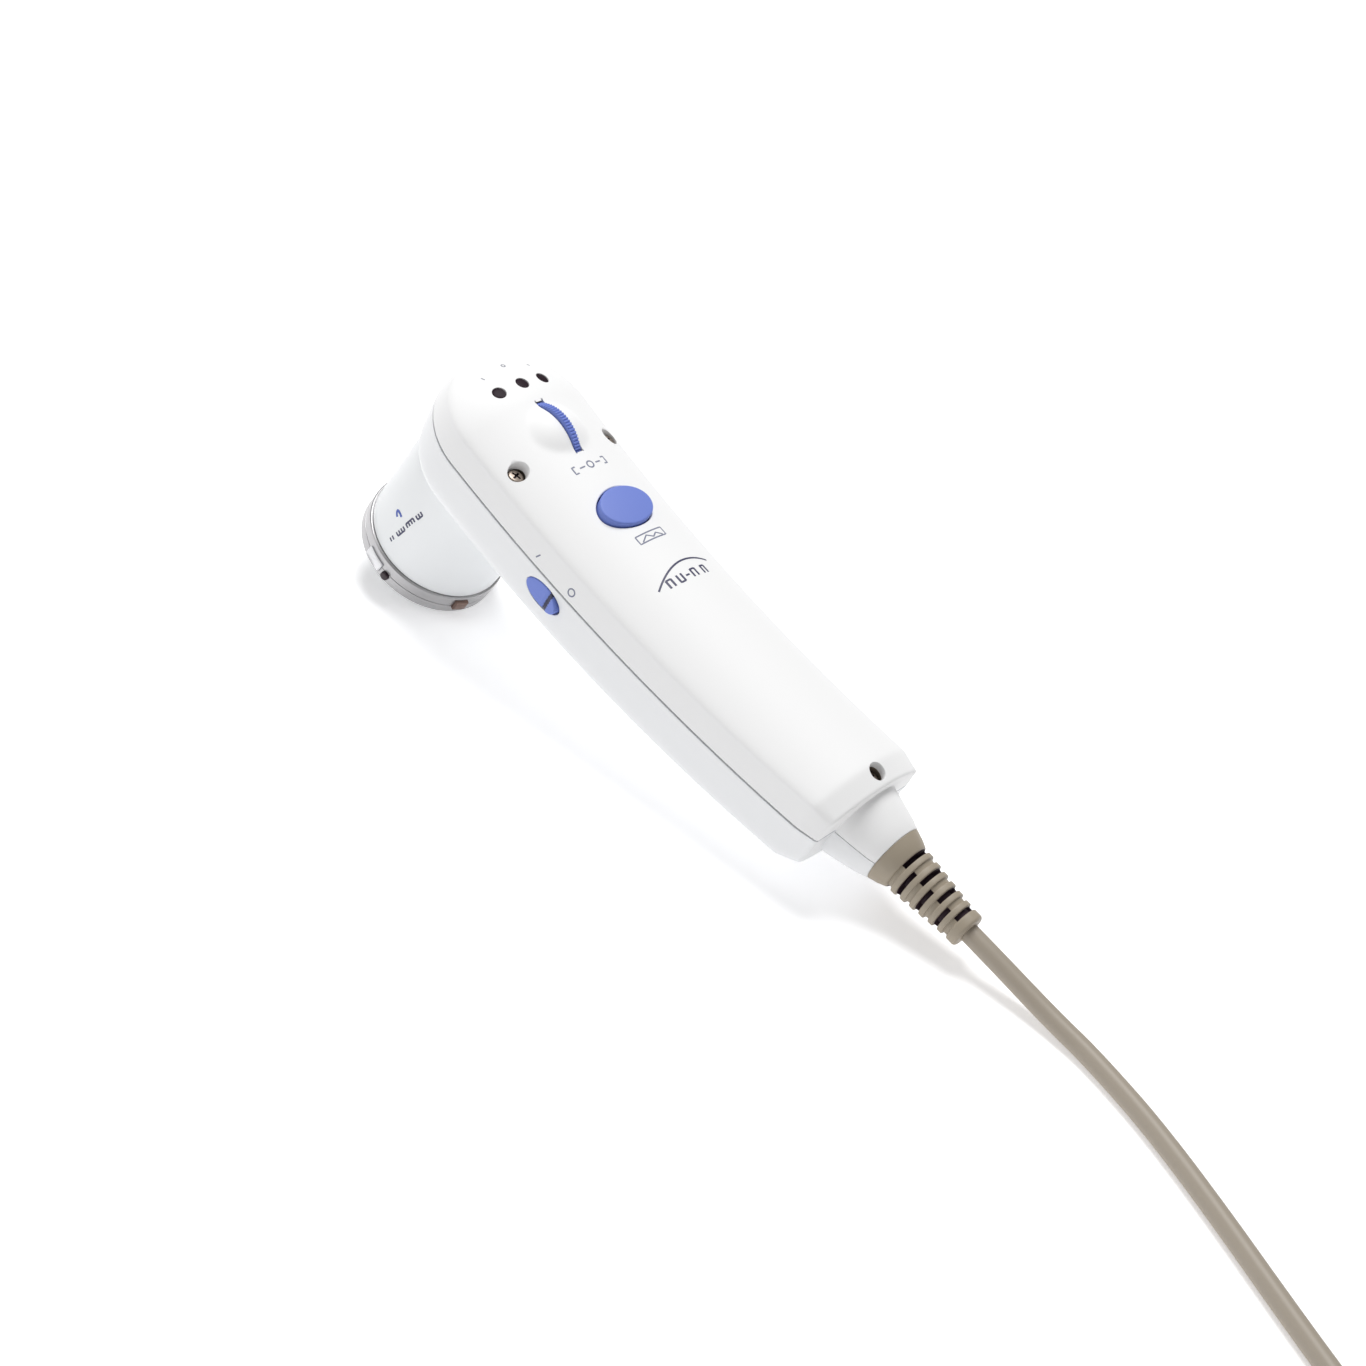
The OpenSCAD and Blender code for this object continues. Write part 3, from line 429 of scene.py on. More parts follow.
def rim_at(p, d, less):
    """A level near the face's edge, at d in from the outline and less below the face there."""
    way, far = inward_reach(p)
    f = (d - EDGE_IN) / (far - EDGE_IN)
    fade = 1 - (d - 1.3) / 2
    q = p + way * (d + (bevel(p[:, 0]) + end_round(p[:, 0])) * fade)[:, None]
    h = EDGE_H + crown(q[:, 0]) * (1 - (1 - f) ** 2) - less
    return np.column_stack([q, parting(q[:, 0]) + h - 2 * bevel(p[:, 0]) - end_round(p[:, 0])])


def wall_at(p, d, h, whole, drop):
    way, _ = inward_reach(p)
    q = p + way * (d + bevel(p[:, 0]) + end_round(p[:, 0]))[:, None]
    share = h / whole
    depth = h if whole > 0 else -rear_depth(p[:, 0]) * share
    z = parting(q[:, 0]) + depth - drop * (2 * bevel(p[:, 0]) + end_round(p[:, 0])) * share
    return np.column_stack([q, z])


def rear_at(p, t, f):
    way, far = inward_reach(p)
    d = 3.4 + f * (far - 3.4)
    q = p + way * d[:, None]
    down = rear_depth(q[:, 0]) - t + BELLY * (1 - (1 - f) ** 2)
    return np.column_stack([q, parting(q[:, 0]) - down + 2 * bevel(p[:, 0]) + end_round(p[:, 0])])


def shell(name, outer, inner, node, groove_rows):
    """Closed cover from its outer and inner levels, joined along the parting rim."""
    n = len(outer[0])
    levels = list(reversed(outer)) + inner
    m = len(levels)
    verts = np.concatenate(levels)
    faces, index = [], []
    split = len(outer) - 1
    for j in range(m - 1):
        shade = 1 if split - groove_rows <= j <= split else 0
        for i in range(n - 1):
            a, b = j * n + i, (j + 1) * n + i
            faces.append((a, a + 1, b + 1, b))
            index.append(shade)
        faces.append((j * n, (j + 1) * n, (j + 1) * n + n - 1, j * n + n - 1))
        index.append(shade)
    half = n // 2
    for base in (0, (m - 1) * n):
        for i in range(half):
            a, b, c, d = base + i, base + i + 1, base + n - 2 - i, base + n - 1 - i
            if b == c:
                continue
            faces.append((a, b, c, d))
            index.append(0)
    return piece(name, verts, faces, [WHITE if node == "top_cover" else REAR, GROOVE], None, index=index)


STEPS = np.concatenate([np.linspace(0.115, 0.94, 40), [0.965, 0.985]])
skin, lining = outline(0), outline(WALL)
top_outer = (
    [
        wall_at(skin, d, h, 8, 1)
        for d, h in (
            (0.8, 0.0), (0.8, 0.27), (0.1, 0.27), (0.04, 0.38), (0.1, 0.75), (0.4, 2.1), (0.78, 4.0),
            (1.12, 5.7), (1.3, 6.6),
        )
    ]
    + [
        rim_at(skin, d, less)
        for d, less in ((1.42, 0.62), (1.6, 0.4), (1.9, 0.2), (2.4, 0.07), (3.1, 0.02))
    ]
    + [face_at(skin, 0, f) for f in STEPS]
)
top_inner = [wall_at(lining, d, h, 8, 1) for d, h in ((0, 0.0), (0.4, 2.0), (1.2, 5.2), (2.4, 6.4))] + [
    face_at(lining, WALL, f) for f in STEPS[4:]
]
rear_outer = [
    wall_at(skin, d, -l * REAR_H / 13.8, -REAR_H, -1)
    for d, l in (
        (0.8, 0.0), (0.8, 0.27), (0.08, 0.27), (0.0, 0.38), (0.03, 2), (0.12, 5), (0.22, 8.4), (0.32, 10.6),
        (0.5, 11.6), (0.8, 12.4), (1.25, 13.05), (1.8, 13.5), (2.5, 13.72), (3.4, 13.8),
    )
] + [rear_at(skin, 0, f) for f in STEPS]
rear_inner = [wall_at(lining, d, -l, -REAR_H, -1) for d, l in ((0, 0.0), (0.3, 9.6), (2.0, 11.6))] + [
    rear_at(lining, WALL, f) for f in STEPS[4:]
]
top = shell("top_shell", top_outer, top_inner, "top_cover", 1)
rear = shell("rear_shell", rear_outer, rear_inner, "rear_cover", 1)


def face_z(x, y):
    v = math.hypot(min(x - HEAD_LEN, 0), y)
    w = side_w(x) if x > HEAD_LEN or v == 0 else v / math.hypot(min(x - HEAD_LEN, 0) / HEAD_LEN, y / HEAD_W)
    z = parting(x) + EDGE_H + crown(x) * (1 - (v / (w - EDGE_IN)) ** 2) - 2 * float(bevel(x))
    return float(dome(np.array(x), np.array(y), np.array(z)))


def slope(x, y):
    """Tilt of the face, for flaring a hole's mouth along it."""
    h = 0.4
    return (face_z(x + h, y) - face_z(x - h, y)) / (2 * h), (face_z(x, y + h) - face_z(x, y - h)) / (2 * h)


def hole(x, y, radius, floor, flare=0.25):
    """Cutter for a round hole with a softened mouth that follows the face."""
    gx, gy = slope(x, y)
    z = face_z(x, y)

    def tilt(p):
        k = 1 if p[2] > z - 1 else 0
        return (p[0], p[1], p[2] + k * (gx * (p[0] - x) + gy * (p[1] - y)))

    profile = [
        (0, floor), (radius, floor), (radius, z - flare), (radius + flare * 0.3, z - flare * 0.35),
        (radius + flare, z + 0.02), (radius + flare + 1, z + 1.2), (0, z + 1.2),
    ]
    return lathe("cut", profile, [WHITE], centre=(x, y, 0), turns=64, tool=True, to=tilt)


SCREWS = ((36, -16.5), (36, 16.5))
TAIL_SCREW = (147.6, 0)
LAMP_X, LAMP_Y = 16, (-7.7, 0, 7.7)
BUTTON_X = 57.5
ROCKER = (61.3, -18.3, -5.0)


def cup(x, y, radius, floor):
    """The seat under a screw's recess; its top ends inside the cover's wall, which slopes."""

    def under(p):
        return (p[0], p[1], face_z(p[0], p[1]) - 0.9 if p[2] > 50 else p[2])

    r = radius + 0.02
    profile = [(0, floor - 1), (r + 0.7, floor - 1), (r + 0.7, 60), (r, 60), (r, floor), (0, floor)]
    obj = lathe("screw_cup", profile, [SCREW], centre=(x, y, 0), turns=64, to=under)


for x, y in SCREWS:
    cup(x, y, 2.5, 8.2)
cup(*TAIL_SCREW, 2.3, 14.6)
for x, y in SCREWS:
    boolean(top, hole(x, y, 2.5, 4))
boolean(top, hole(*TAIL_SCREW, 2.3, 9, 0.2))
for y in LAMP_Y:
    boolean(top, hole(LAMP_X, y, 1.8, 5, 0.15))
boolean(
    top,
    slab(
        "cut", rounded([(24.0, -1.3), (37.0, -1.3), (37.0, 1.3), (24.0, 1.3)], 0.8), 9, 22, [WHITE], 0,
        tool=True,
    ),
)


def in_plane(p):
    """(x, y, h) about the axle to the device frame, with h across the body."""
    return (AXLE_X + p[0], p[2], AXLE_Z + p[1])


boolean(top, slab("cut", oval(11.1, 11.1, 120), -1.3, 1.3, [WHITE], 0, place=in_plane, tool=True))


def button_hole():
    a, b = 6.1, 8.5
    rings = []
    for grow, dz in ((0, -10), (0, -0.35), (0.1, -0.12), (0.32, 0.03), (1.2, 1.0)):
        ring = []
        for u, v in oval(a + grow, b + grow, 120):
            x = BUTTON_X + u
            ring.append((x, v, (face_z(x, v) if dz > -5 else 15) + dz))
        rings.append(ring)
    verts, faces = loops(rings)
    return piece("cut", verts, faces, [WHITE], None)


boolean(top, button_hole())


def neck_bore():
    return lathe(
        "cut", [(0, -24), (5.6, -24), (5.6, -4), (0, -4)], [WHITE], space=RELIEF, turns=64, tool=True,
    )


boolean(top, neck_bore())
boolean(rear, neck_bore())
boolean(
    rear,
    lathe("cut", [(0, 4), (19.6, 4), (19.6, 30), (0, 30)], [REAR], space=BARREL, turns=180, tool=True),
)


def on_side(p):
    """(along, up, out) at the power switch's pivot to the device frame, out towards -Y."""
    return (ROCKER[0] + p[0], ROCKER[1] - p[2], ROCKER[2] + p[1])


def rocker_hole():
    levels = [(0, -4), (0, 3.55), (0.12, 3.8), (0.3, 4.0), (0.9, 5.2)]
    verts, faces = loops(
        [[on_side((x, y, out)) for x, y in oval(6.0 + grow, 3.3 + grow)] for grow, out in levels]
    )
    return piece("cut", verts, faces, [REAR], None)


boolean(rear, rocker_hole())
for obj, node in ((top, "top_cover"), (rear, "rear_cover")):
    finish_mesh(obj.data, 28)
    settle(obj, "housing", (node,))


# Neck round the cable --------------------------------------------------------------------------
neck_profile = rounded(
    [
        (4.4, -3.1), (5.6, -3.1), (5.6, -13.5), (11.4, -13.5), (11.4, -11.6), (10.9, -9.2), (10.0, -5.6),
        (9.1, -2.2), (8.2, 0), (4.4, 0),
    ],
    [0, 0, 0, 0, 0.8, 1.2, 1.2, 1.0, 0.35, 0],
)
for name, lo, hi, mat in (("neck_top", 6.6, 30, WHITE), ("neck_rear", -30, 6.4, REAR)):
    neck = lathe(name, neck_profile, [mat, GROOVE], space=RELIEF, tool=True)
    boolean(neck, box("cut", (151.45, -20, lo), (175, 20, hi), [mat], 0, tool=True), "INTERSECT")
    finish_mesh(neck.data, 30)
    settle(neck, "housing")

# Barrel ----------------------------------------------------------------------------------------
lathe(
    "sleeve",
    rounded(
        [
            (15, 7), (19.53, 7), (19.53, 9.75), (18.6, 9.75), (18.6, 10.75), (19.55, 10.75), (19.5, 18.2),
            (19.05, 42.7), (18.2, 42.7), (18.2, 45.2), (17.5, 45.2), (17.5, 19), (15, 19),
        ],
        [0, 0.1, 0.12, 0, 0, 0.12, 2, 0.3, 0, 0.2, 0.2, 0, 0],
    ),
    [SLEEVE], space=BARREL, turns=256, stands_for=("barrel_sleeve",),
)
lathe(
    "seal", [(18.62, 9.8), (19.1, 9.85), (19.3, 10.25), (19.1, 10.65), (18.62, 10.7)], [SEAL], space=BARREL,
    turns=192, stands_for=("barrel_seal",),
)


def arc_slab(name, radii, spans, angles, mats, body, edge=0.2, node=None, tool=False):
    """A block between two radii, two distances along the barrel and two angles, with soft edges."""
    r0, r1 = radii
    corners = rounded(
        [(angles[0], spans[0]), (angles[1], spans[0]), (angles[1], spans[1]), (angles[0], spans[1])],
        0.01 if tool else 0.5, 5,
    )
    mid = math.radians((angles[0] + angles[1]) / 2)
    pts = [((math.radians(a) - mid) * r1, s) for a, s in corners]

    def place(p):
        a = mid + p[0] / r1
        return (p[2] * math.cos(a), p[2] * math.sin(a), p[1])

    dense = []
    for k, p in enumerate(pts):
        q = pts[(k + 1) % len(pts)]
        steps = max(1, int(abs(q[0] - p[0]) / 0.5))
        dense += [
            (p[0] + (q[0] - p[0]) * i / steps, p[1] + (q[1] - p[1]) * i / steps) for i in range(steps)
        ]
    return slab(
        name, dense, r0, r1, mats, edge, body=body, space=BARREL, place=place,
        stands_for=(node,) if node else (), tool=tool,
    )


ring = lathe(
    "ring",
    rounded(
        [
            (18.26, 42.82), (19.5, 42.82), (19.77, 43.1), (19.77, 45.95), (19.6, 46.02), (19.6, 46.14),
            (19.77, 46.2), (19.77, 49.04), (16.6, 49.04), (16.6, 45.4), (18.26, 45.4),
        ],
        [0, 0.15, 0.15, 0.05, 0, 0, 0.05, 0.35, 0.4, 0.2, 0],
    ),
    [RING], space=BARREL, turns=256, tool=True,
)
boolean(
    ring, arc_slab("cut", (18.98, 21.5), (44.97, 48.03), (86.9, 105.1), [RING_DARK], None, 0, tool=True),
)
boolean(ring, arc_slab("cut", (18.98, 21.5), (43.57, 46.83), (11.9, 23.1), [RING_DARK], None, 0, tool=True))


def pin_place(p):
    """(across, along the barrel, out) at the release pin to the barrel frame."""
    a = math.radians(81)
    return (p[2] * math.cos(a) - p[0] * math.sin(a), p[2] * math.sin(a) + p[0] * math.cos(a), 47.1 + p[1])


boolean(
    ring,
    slab("cut", oval(1.25, 1.25, 48), 18.1, 21, [RING_DARK], 0, place=pin_place, space=BARREL, tool=True),
)
finish_mesh(ring.data, 30)
settle(ring, "locking_ring", ("front_ring",))
arc_slab("index", (19.0, 20.4), (45.02, 47.98), (87.1, 104.9), [INDEX], "locking_ring", 0.25, "ring_index")
arc_slab("index_edge", (19.0, 19.95), (45.0, 48.0), (87.0, 105.0), [RIM], "locking_ring", 0.05)
arc_slab("clip", (19.0, 20.7), (43.62, 46.78), (12.1, 22.9), [CLIP], "locking_ring", 0.3, "ring_clip")
slab(
    "pin", oval(1.18, 1.18, 48), 18.92, 20.58, [DARK], 0.25, body="release_pin", space=BARREL,
    place=pin_place, stands_for=("ring_pin",),
)
lathe(
    "window", rounded([(0, 43.22), (17.42, 43.22), (17.42, 44.58), (0, 44.58)], [0, 0.2, 0.2, 0]), [GLASS],
    space=BARREL, turns=128, stands_for=("front_window",),
)


# Controls --------------------------------------------------------------------------------------
def knurled(n=80, r=10.6, depth=0.3):
    pts = []
    for k in range(n):
        for t, cut in ((0.0, 0), (0.3, 0), (0.5, depth * 0.7), (0.65, depth), (0.8, depth * 0.7)):
            a = 2 * math.pi * (k + t) / n
            pts.append(((r - cut) * math.cos(a), (r - cut) * math.sin(a)))
    return pts


slab(
    "wheel", knurled(), -1.0, 1.0, [BLUE], 0.25, body="focus_control", place=in_plane,
    stands_for=("focus_wheel",),
)


def domed_oval(name, a, b, depth, top_of, mats, place, body, node, edge=0.4, index_of=None):
    """An oval cap whose top follows top_of(x, y), with a rounded edge and straight sides."""
    grid = [(s, 0.0) for s in np.linspace(0.04, 1, 16)]
    levels = []
    for s, _ in grid:
        levels.append([(u * s, v * s) for u, v in oval(a - edge, b - edge, 96)])
    rings = [[place((x, y, top_of(x, y))) for x, y in ring] for ring in levels]
    for k in range(1, 6):
        t = math.pi / 2 * k / 5
        g = edge * math.sin(t)
        ring = [(x, y) for x, y in oval(a - edge + g, b - edge + g, 96)]
        rings.append([place((x, y, top_of(x, y) - edge * (1 - math.cos(t)))) for x, y in ring])
    rings.append([place((x, y, depth)) for x, y in oval(a, b, 96)])
    verts, faces = loops(rings)
    index = [index_of(f, verts) if index_of else 0 for f in faces]
    return piece(name, verts, faces, mats, body, index=index, stands_for=(node,))


domed_oval(
    "image_key_cap", 5.78, 8.18, 9.4, lambda x, y: 16.1 - 70 + math.sqrt(4900 - x * x - y * y), [BLUE],
    lambda p: (BUTTON_X + p[0], p[1], p[2]), "image_key", "image_button",
)
LEAN_BACK = math.radians(-5)


def rocker_place(p):
    x = p[0] * math.cos(LEAN_BACK) - (-p[2]) * math.sin(LEAN_BACK)
    y = p[0] * math.sin(LEAN_BACK) + (-p[2]) * math.cos(LEAN_BACK)
    return (ROCKER[0] + x, ROCKER[1] + y, ROCKER[2] + p[1])


def rocker_top(x, y):
    dip = 0.55 * math.exp(-(((x - 1.9) / 0.75) ** 2))
    return 3.6 + 0.9 / 7 * abs(x) - dip


# Valley faces (1.3 < x < 2.7 from the pivot) get the painted shadow colour; the rest of the cap stays blue.
def rocker_shade(face, verts):
    if len(face) > 4:
        return 0
    x = sum(verts[i][0] for i in face) / len(face) - ROCKER[0]
    return 1 if 1.3 < x < 2.7 else 0


domed_oval(
    "rocker_cap", 5.66, 2.97, 0.7, rocker_top, [BLUE, NOTCH_SHADOW], rocker_place, "power_key", "power_rocker",
    0.3, rocker_shade,
)


def lens_dots():
    verts, faces = [], []
    for y in LAMP_Y:
        z = face_z(LAMP_X, y) - 4.8
        prof = [
            (0, 0), (2.25, 0), (2.25, 0.8), (1.76, 0.8), (1.76, 3.7), (1.6, 3.82), (0.9, 3.88), (0, 3.9),
        ]
        levels = [
            [
                (LAMP_X + r * math.cos(a), y + r * math.sin(a), z + h)
                for a in (2 * math.pi * i / 48 for i in range(48))
            ]
            for r, h in prof
        ]
        levels = [
            [(p[0], p[1], face_z(p[0], p[1]) + p[2] - z - 4.0) if k > 2 else p for p in ring]
            for k, ring in enumerate(levels)
        ]
        v, f = loops(levels, caps=False)
        faces += [tuple(i + len(verts) for i in g) for g in f]
        verts += v
    piece("led_lenses", verts, faces, [LENS], stands_for=("led_windows",))


lens_dots()


def cross_head(name, spots, radius, seat, node, shank):
    for k, (x, y) in enumerate(spots):
        prof = rounded(
            [
                (0, seat - shank), (0.95, seat - shank + 0.6), (0.95, seat), (radius, seat),
                (radius, seat + 1.6), (0, seat + 1.75),
            ],
            [0, 0, 0, 0.1, 0.6, 0],
        )
        s = lathe(name, prof, [SCREW, DARK], centre=(x, y, 0), turns=64, tool=True)
        for turn in (20, 110):
            a = math.radians(turn)

            def place(p, a=a, x=x, y=y):
                return (
                    x + p[0] * math.cos(a) - p[1] * math.sin(a),
                    y + p[0] * math.sin(a) + p[1] * math.cos(a), p[2],
                )

            boolean(
                s,
                slab(
                    "cut", [(-1.25, -0.3), (1.25, -0.3), (1.25, 0.3), (-1.25, 0.3)], seat + 0.9, seat + 3,
                    [DARK], 0, place=place, tool=True,
                ),
            )
        finish_mesh(s.data, 30)
        if k == 0:
            settle(s, "housing", (node,))
        else:
            settle(s, "housing")


cross_head("cover_screw", SCREWS, 2.1, 8.2, "cover_screws", 13.5)
cross_head("tail_screw", (TAIL_SCREW,), 2.0, 14.6, "tail_screw", 6.2)


# Strain relief -----------------------------------------------------------------------------------
def strain_relief():
    bore = 2.53
    pitch, first, thick, ribs = 2.8, 5.9, 1.5, 6
    core = [(bore, 0.05), (8.1, 0.05), (7.35, 2.6), (6.45, 4.6), (5.75, 4.75)]
    soft = [0, 0.15, 0.6, 0.4, 0.2]
    for k in range(ribs):
        r = 6.4 - 1.5 * k / (ribs - 1)
        z = first + k * pitch
        core += [(r - 0.65, z), (r, z), (r, z + thick), (r - 0.7, z + thick)]
        soft += [0.2, 0.55, 0.55, 0.2]
    core += [(4.15, 22.7), (4.75, 22.8), (4.75, 25.1), (4.2, 25.6), (bore, 25.6)]
    soft += [0.2, 0.45, 0.4, 0.3, 0]
    relief = lathe(
        "relief", rounded(core, soft, 5), [BEIGE_RELIEF, SLOT], space=RELIEF, turns=160, tool=True,
    )
    for k in range(ribs + 1):
        z0, z1 = first + k * pitch - pitch + thick + 0.06, first + k * pitch - 0.06
        for side in (0, 180):
            mid = side + (0 if k % 2 == 0 else 90)
            arc = [(math.radians(mid - 50 + 100 * i / 24)) for i in range(25)]
            levels = [
                [
                    (r * math.cos(a), r * math.sin(a), z)
                    for r, z in ((3.3, z0), (8.5, z0), (8.5, z1), (3.3, z1))
                ] for a in arc
            ]
            verts, faces = loops(levels)
            tool = piece("cut", verts, faces, [BEIGE_RELIEF, SLOT], None, RELIEF, index=[1] * len(faces))
            boolean(relief, tool)
    finish_mesh(relief.data, 40)
    settle(relief, "housing", ("strain_relief",))


strain_relief()


# Cord: one line from the relief through the coil to the plug ---------------------------------------
def to_table(p):
    """Device millimetres to table millimetres."""
    return np.array(DEV @ Vector(p)) / MM


RELIEF_END = to_table((163.15 + 25.6 * math.cos(RELIEF_UP), 0, 5.2 + 25.6 * math.sin(RELIEF_UP)))
WAY_OUT = np.array(RELIEF.to_3x3() @ Vector((0, 0, 1)))
WAY_OUT = WAY_OUT / np.linalg.norm(WAY_OUT)
CORD_R, LIE = 2.5, 2.52
COIL = np.array([268.0, -12.0])
MID_R, PITCH = 30.0, 5.02


def smooth_path(points, per=6):
    pts = [np.array(p, dtype=float) for p in points]
    pts = [2 * pts[0] - pts[1]] + pts + [2 * pts[-1] - pts[-2]]
    out = []
    for i in range(1, len(pts) - 2):
        a, b, c, d = pts[i - 1 : i + 3]
        for t in np.linspace(0, 1, per, endpoint=False):
            out.append(
                0.5 * (
                    2 * b + (c - a) * t + (
                        2 * a - 5 * b + 4 * c - d
                    ) * t**2 + (3 * b - a - 3 * c + d) * t**3
                )
            )
    out.append(pts[-2])
    return out


def cord_points():
    free = [
        RELIEF_END + off
        for off in (
            (0, 0, 0), (6, 0, -1.45), (12, 0, -2.95), (18, -0.15, -4.35), (24, -0.5, -5.5),
            (30, -1.1, -6.3), (37, -2.1, -6.8),
        )
    ]
    free += [
        (146, -4.6, LIE), (157, -8.2, LIE), (170, -13.4, LIE), (186, -20.6, LIE), (202, -28.2, LIE),
        (218, -35.6, LIE), (232, -41.6, LIE), (244, -45.8, LIE), (256, -48.6, LIE), (268, -49.5, LIE),
    ]
    line = smooth_path(free, 3)[:-1]
    # Columns of the coil in the order laid: (radius step, layer) for every turn
    order = [(1.5, 0), (0.5, 0), (-0.5, 0), (-1.5, 0), (-1.5, 1), (-0.5, 1), (0.5, 1), (1.5, 1), (1.5, 2)]
    start = -90.0
    steps = 36
    swing = 60.0
    for k, (col, row) in enumerate(order):
        nxt = order[k + 1] if k + 1 < len(order) else (col, row)
        turns = 360 if k + 1 < len(order) else 21
        for a in np.arange(0, turns, 360 / steps):
            t = np.clip((a - (360 - swing)) / swing, 0, 1)
            t = t * t * (3 - 2 * t)
            r = MID_R + PITCH * (col + (nxt[0] - col) * t)
            z = LIE + PITCH * (row + (nxt[1] - row) * t)
            g = math.radians(start + a)
            line.append(np.array([COIL[0] + r * math.cos(g), COIL[1] + r * math.sin(g), z]))
    lead = [
        line[-1], (290.5, -43.4, 12.5), (301, -38.2, 10.8), (310, -31.8, 7.8), (316.5, -25, 5.2),
        (319.4, -19.5, 4.1), (320, -15, 3.8), (320, -9, 3.8),
    ]
    line += smooth_path(lead, 3)[1:]
    return line


def line_length(pts):
    return float(sum(np.linalg.norm(b - a) for a, b in zip(pts, pts[1:])))


def make_cord():
    pts = cord_points()
    curve = bpy.data.curves.new("cord", "CURVE")
    curve.dimensions = "3D"
    curve.bevel_depth = CORD_R * MM
    curve.bevel_resolution = 6
    curve.use_fill_caps = True
    spline = curve.splines.new("POLY")
    spline.points.add(len(pts) - 1)
    for p, q in zip(spline.points, pts):
        p.co = (*(np.array(q) * MM), 1)
    curve.materials.append(BEIGE)
    spline.use_smooth = True
    obj = bpy.data.objects.new("cord", curve)
    bpy.context.scene.collection.objects.link(obj)
    settle(obj, "housing", ("cable_tube", "cable_lead", "cable_coil"))
    return obj, pts


cord, cord_line = make_cord()


def coil_tie():
    x, w = COIL[0], 3.0
    y0, y1 = COIL[1] + 20 - 0.9, COIL[1] + 40 + 0.9
    inner = rounded([(y0 + 0.8, 0.5), (y1 - 0.8, 0.5), (y1 - 0.8, 10.1), (y0 + 0.8, 10.1)], 2.2)
    outer = rounded([(y0, 0), (y1, 0), (y1, 10.9), (y0, 10.9)], 2.8)
    levels = [
        [(x + sx * w, y, z) for y, z in ring]
        for sx, ring in ((-1, inner), (-1, outer), (1, outer), (1, inner))
    ]
    verts, faces = loops(levels, closed=True)
    return piece("tie", verts, faces, [TIE], space=TABLE, stands_for=("coil_tie",))


tie = coil_tie()

# Plug ---------------------------------------------------------------------------------------------
PLUG_X, PLUG_Y = 320.0, -16.0


def along_plug(p):
    """(x, z, along) to the table frame, in millimetres."""
    return (PLUG_X + p[0], PLUG_Y + p[2], p[1])


boot = [
    (r, z)
    for r, z in rounded([(2.55, 0), (3.0, 0), (3.4, 7), (3.7, 14.4), (2.55, 14.4)], [0, 0.3, 0, 0, 0])
]
boot_levels = [
    [
        along_plug((r * math.cos(a), 3.8 + r * math.sin(a), z))
        for a in (2 * math.pi * i / 64 for i in range(64))
    ]
    for r, z in boot
]
boot_obj = piece("plug_boot", *loops(boot_levels, closed=True, caps=False), [BEIGE], space=TABLE)
body_pts = rounded([(-7.75, 0), (7.75, 0), (7.75, 7.6), (-7.75, 7.6)], 1.6, 5)
plug = slab("plug_grip", body_pts, 14, 40, [BEIGE], 0.7, place=along_plug, space=TABLE, tool=True)
boolean(
    plug,
    slab(
        "cut", rounded([(-6.02, 1.53), (6.02, 1.53), (6.02, 6.07), (-6.02, 6.07)], 0.3), 34, 50, [BEIGE], 0,
        place=along_plug, space=TABLE, tool=True,
    ),
)
finish_mesh(plug.data, 30)
settle(plug, "housing", ("plug_body",))
usb = slab(
    "usb_shell", rounded([(-6, 1.55), (6, 1.55), (6, 6.05), (-6, 6.05)], 0.4), 34, 52.7, [STEEL], 0.08,
    place=along_plug, space=TABLE, tool=True,
)
boolean(
    usb,
    slab(
        "cut", rounded([(-5.65, 1.9), (5.65, 1.9), (5.65, 5.7), (-5.65, 5.7)], 0.25), 37, 60, [STEEL], 0,
        place=along_plug, space=TABLE, tool=True,
    ),
)
for s in (-1, 1):
    boolean(
        usb,
        slab(
            "cut", [(s * 3 - 1.1, 5.5), (s * 3 + 1.1, 5.5), (s * 3 + 1.1, 7), (s * 3 - 1.1, 7)], 42.5, 45.0,
            [STEEL], 0, place=along_plug, space=TABLE, tool=True,
        ),
    )
finish_mesh(usb.data, 30)
settle(usb, "housing", ("plug_shell",))
tongue = slab(
    "usb_tongue", rounded([(-5.4, 1.95), (5.4, 1.95), (5.4, 3.75), (-5.4, 3.75)], 0.2), 37, 51.7, [TONGUE],
    0.15, place=along_plug, space=TABLE, stands_for=("plug_tongue",),
)

[
        float(v) * MM for v in cord_line[0]
    ]
line_length(cord_line) * MM


# Printed marks: generic shapes only ------------------------------------------------------------------
def stroke(points, width, on, lift=0.03, closed=False):
    """A thin raised line along 2-D points; on() puts (u, v, height) on the surface."""
    pts = [np.array(p, dtype=float) for p in points]
    dense = []
    for a, b in zip(pts, pts[1:]):
        n = max(1, int(np.linalg.norm(b - a) / 0.35))
        dense += [a + (b - a) * k / n for k in range(n)]
    dense.append(pts[-1])
    levels = []
    for k, p in enumerate(dense):
        d = dense[min(k + 1, len(dense) - 1)] - dense[max(k - 1, 0)]
        if closed and k in (0, len(dense) - 1):
            d = dense[1] - dense[-2]
        s = np.array([-d[1], d[0]]) / max(np.linalg.norm(d), 1e-9) * width / 2
        levels.append([on(*(p - s), -0.05), on(*(p + s), -0.05), on(*(p + s), lift), on(*(p - s), lift)])
    return loops(levels)


def marks(name, strokes, on, mat, width):
    verts, faces = [], []
    for pts in strokes:
        v, f = stroke(pts, width, on)
        faces += [tuple(i + len(verts) for i in g) for g in f]
        verts += v
    piece(name, verts, faces, [mat])


def on_face(u, v, h):
    return (u, v, face_z(u, v) + h)


def ring_line(cx, cy, a, b=None, n=24, lo=0.0, hi=360.0):
    b = a if b is None else b
    return [
        (cx + a * math.cos(math.radians(t)), cy + b * math.sin(math.radians(t)))
        for t in np.linspace(lo, hi, n)
    ]


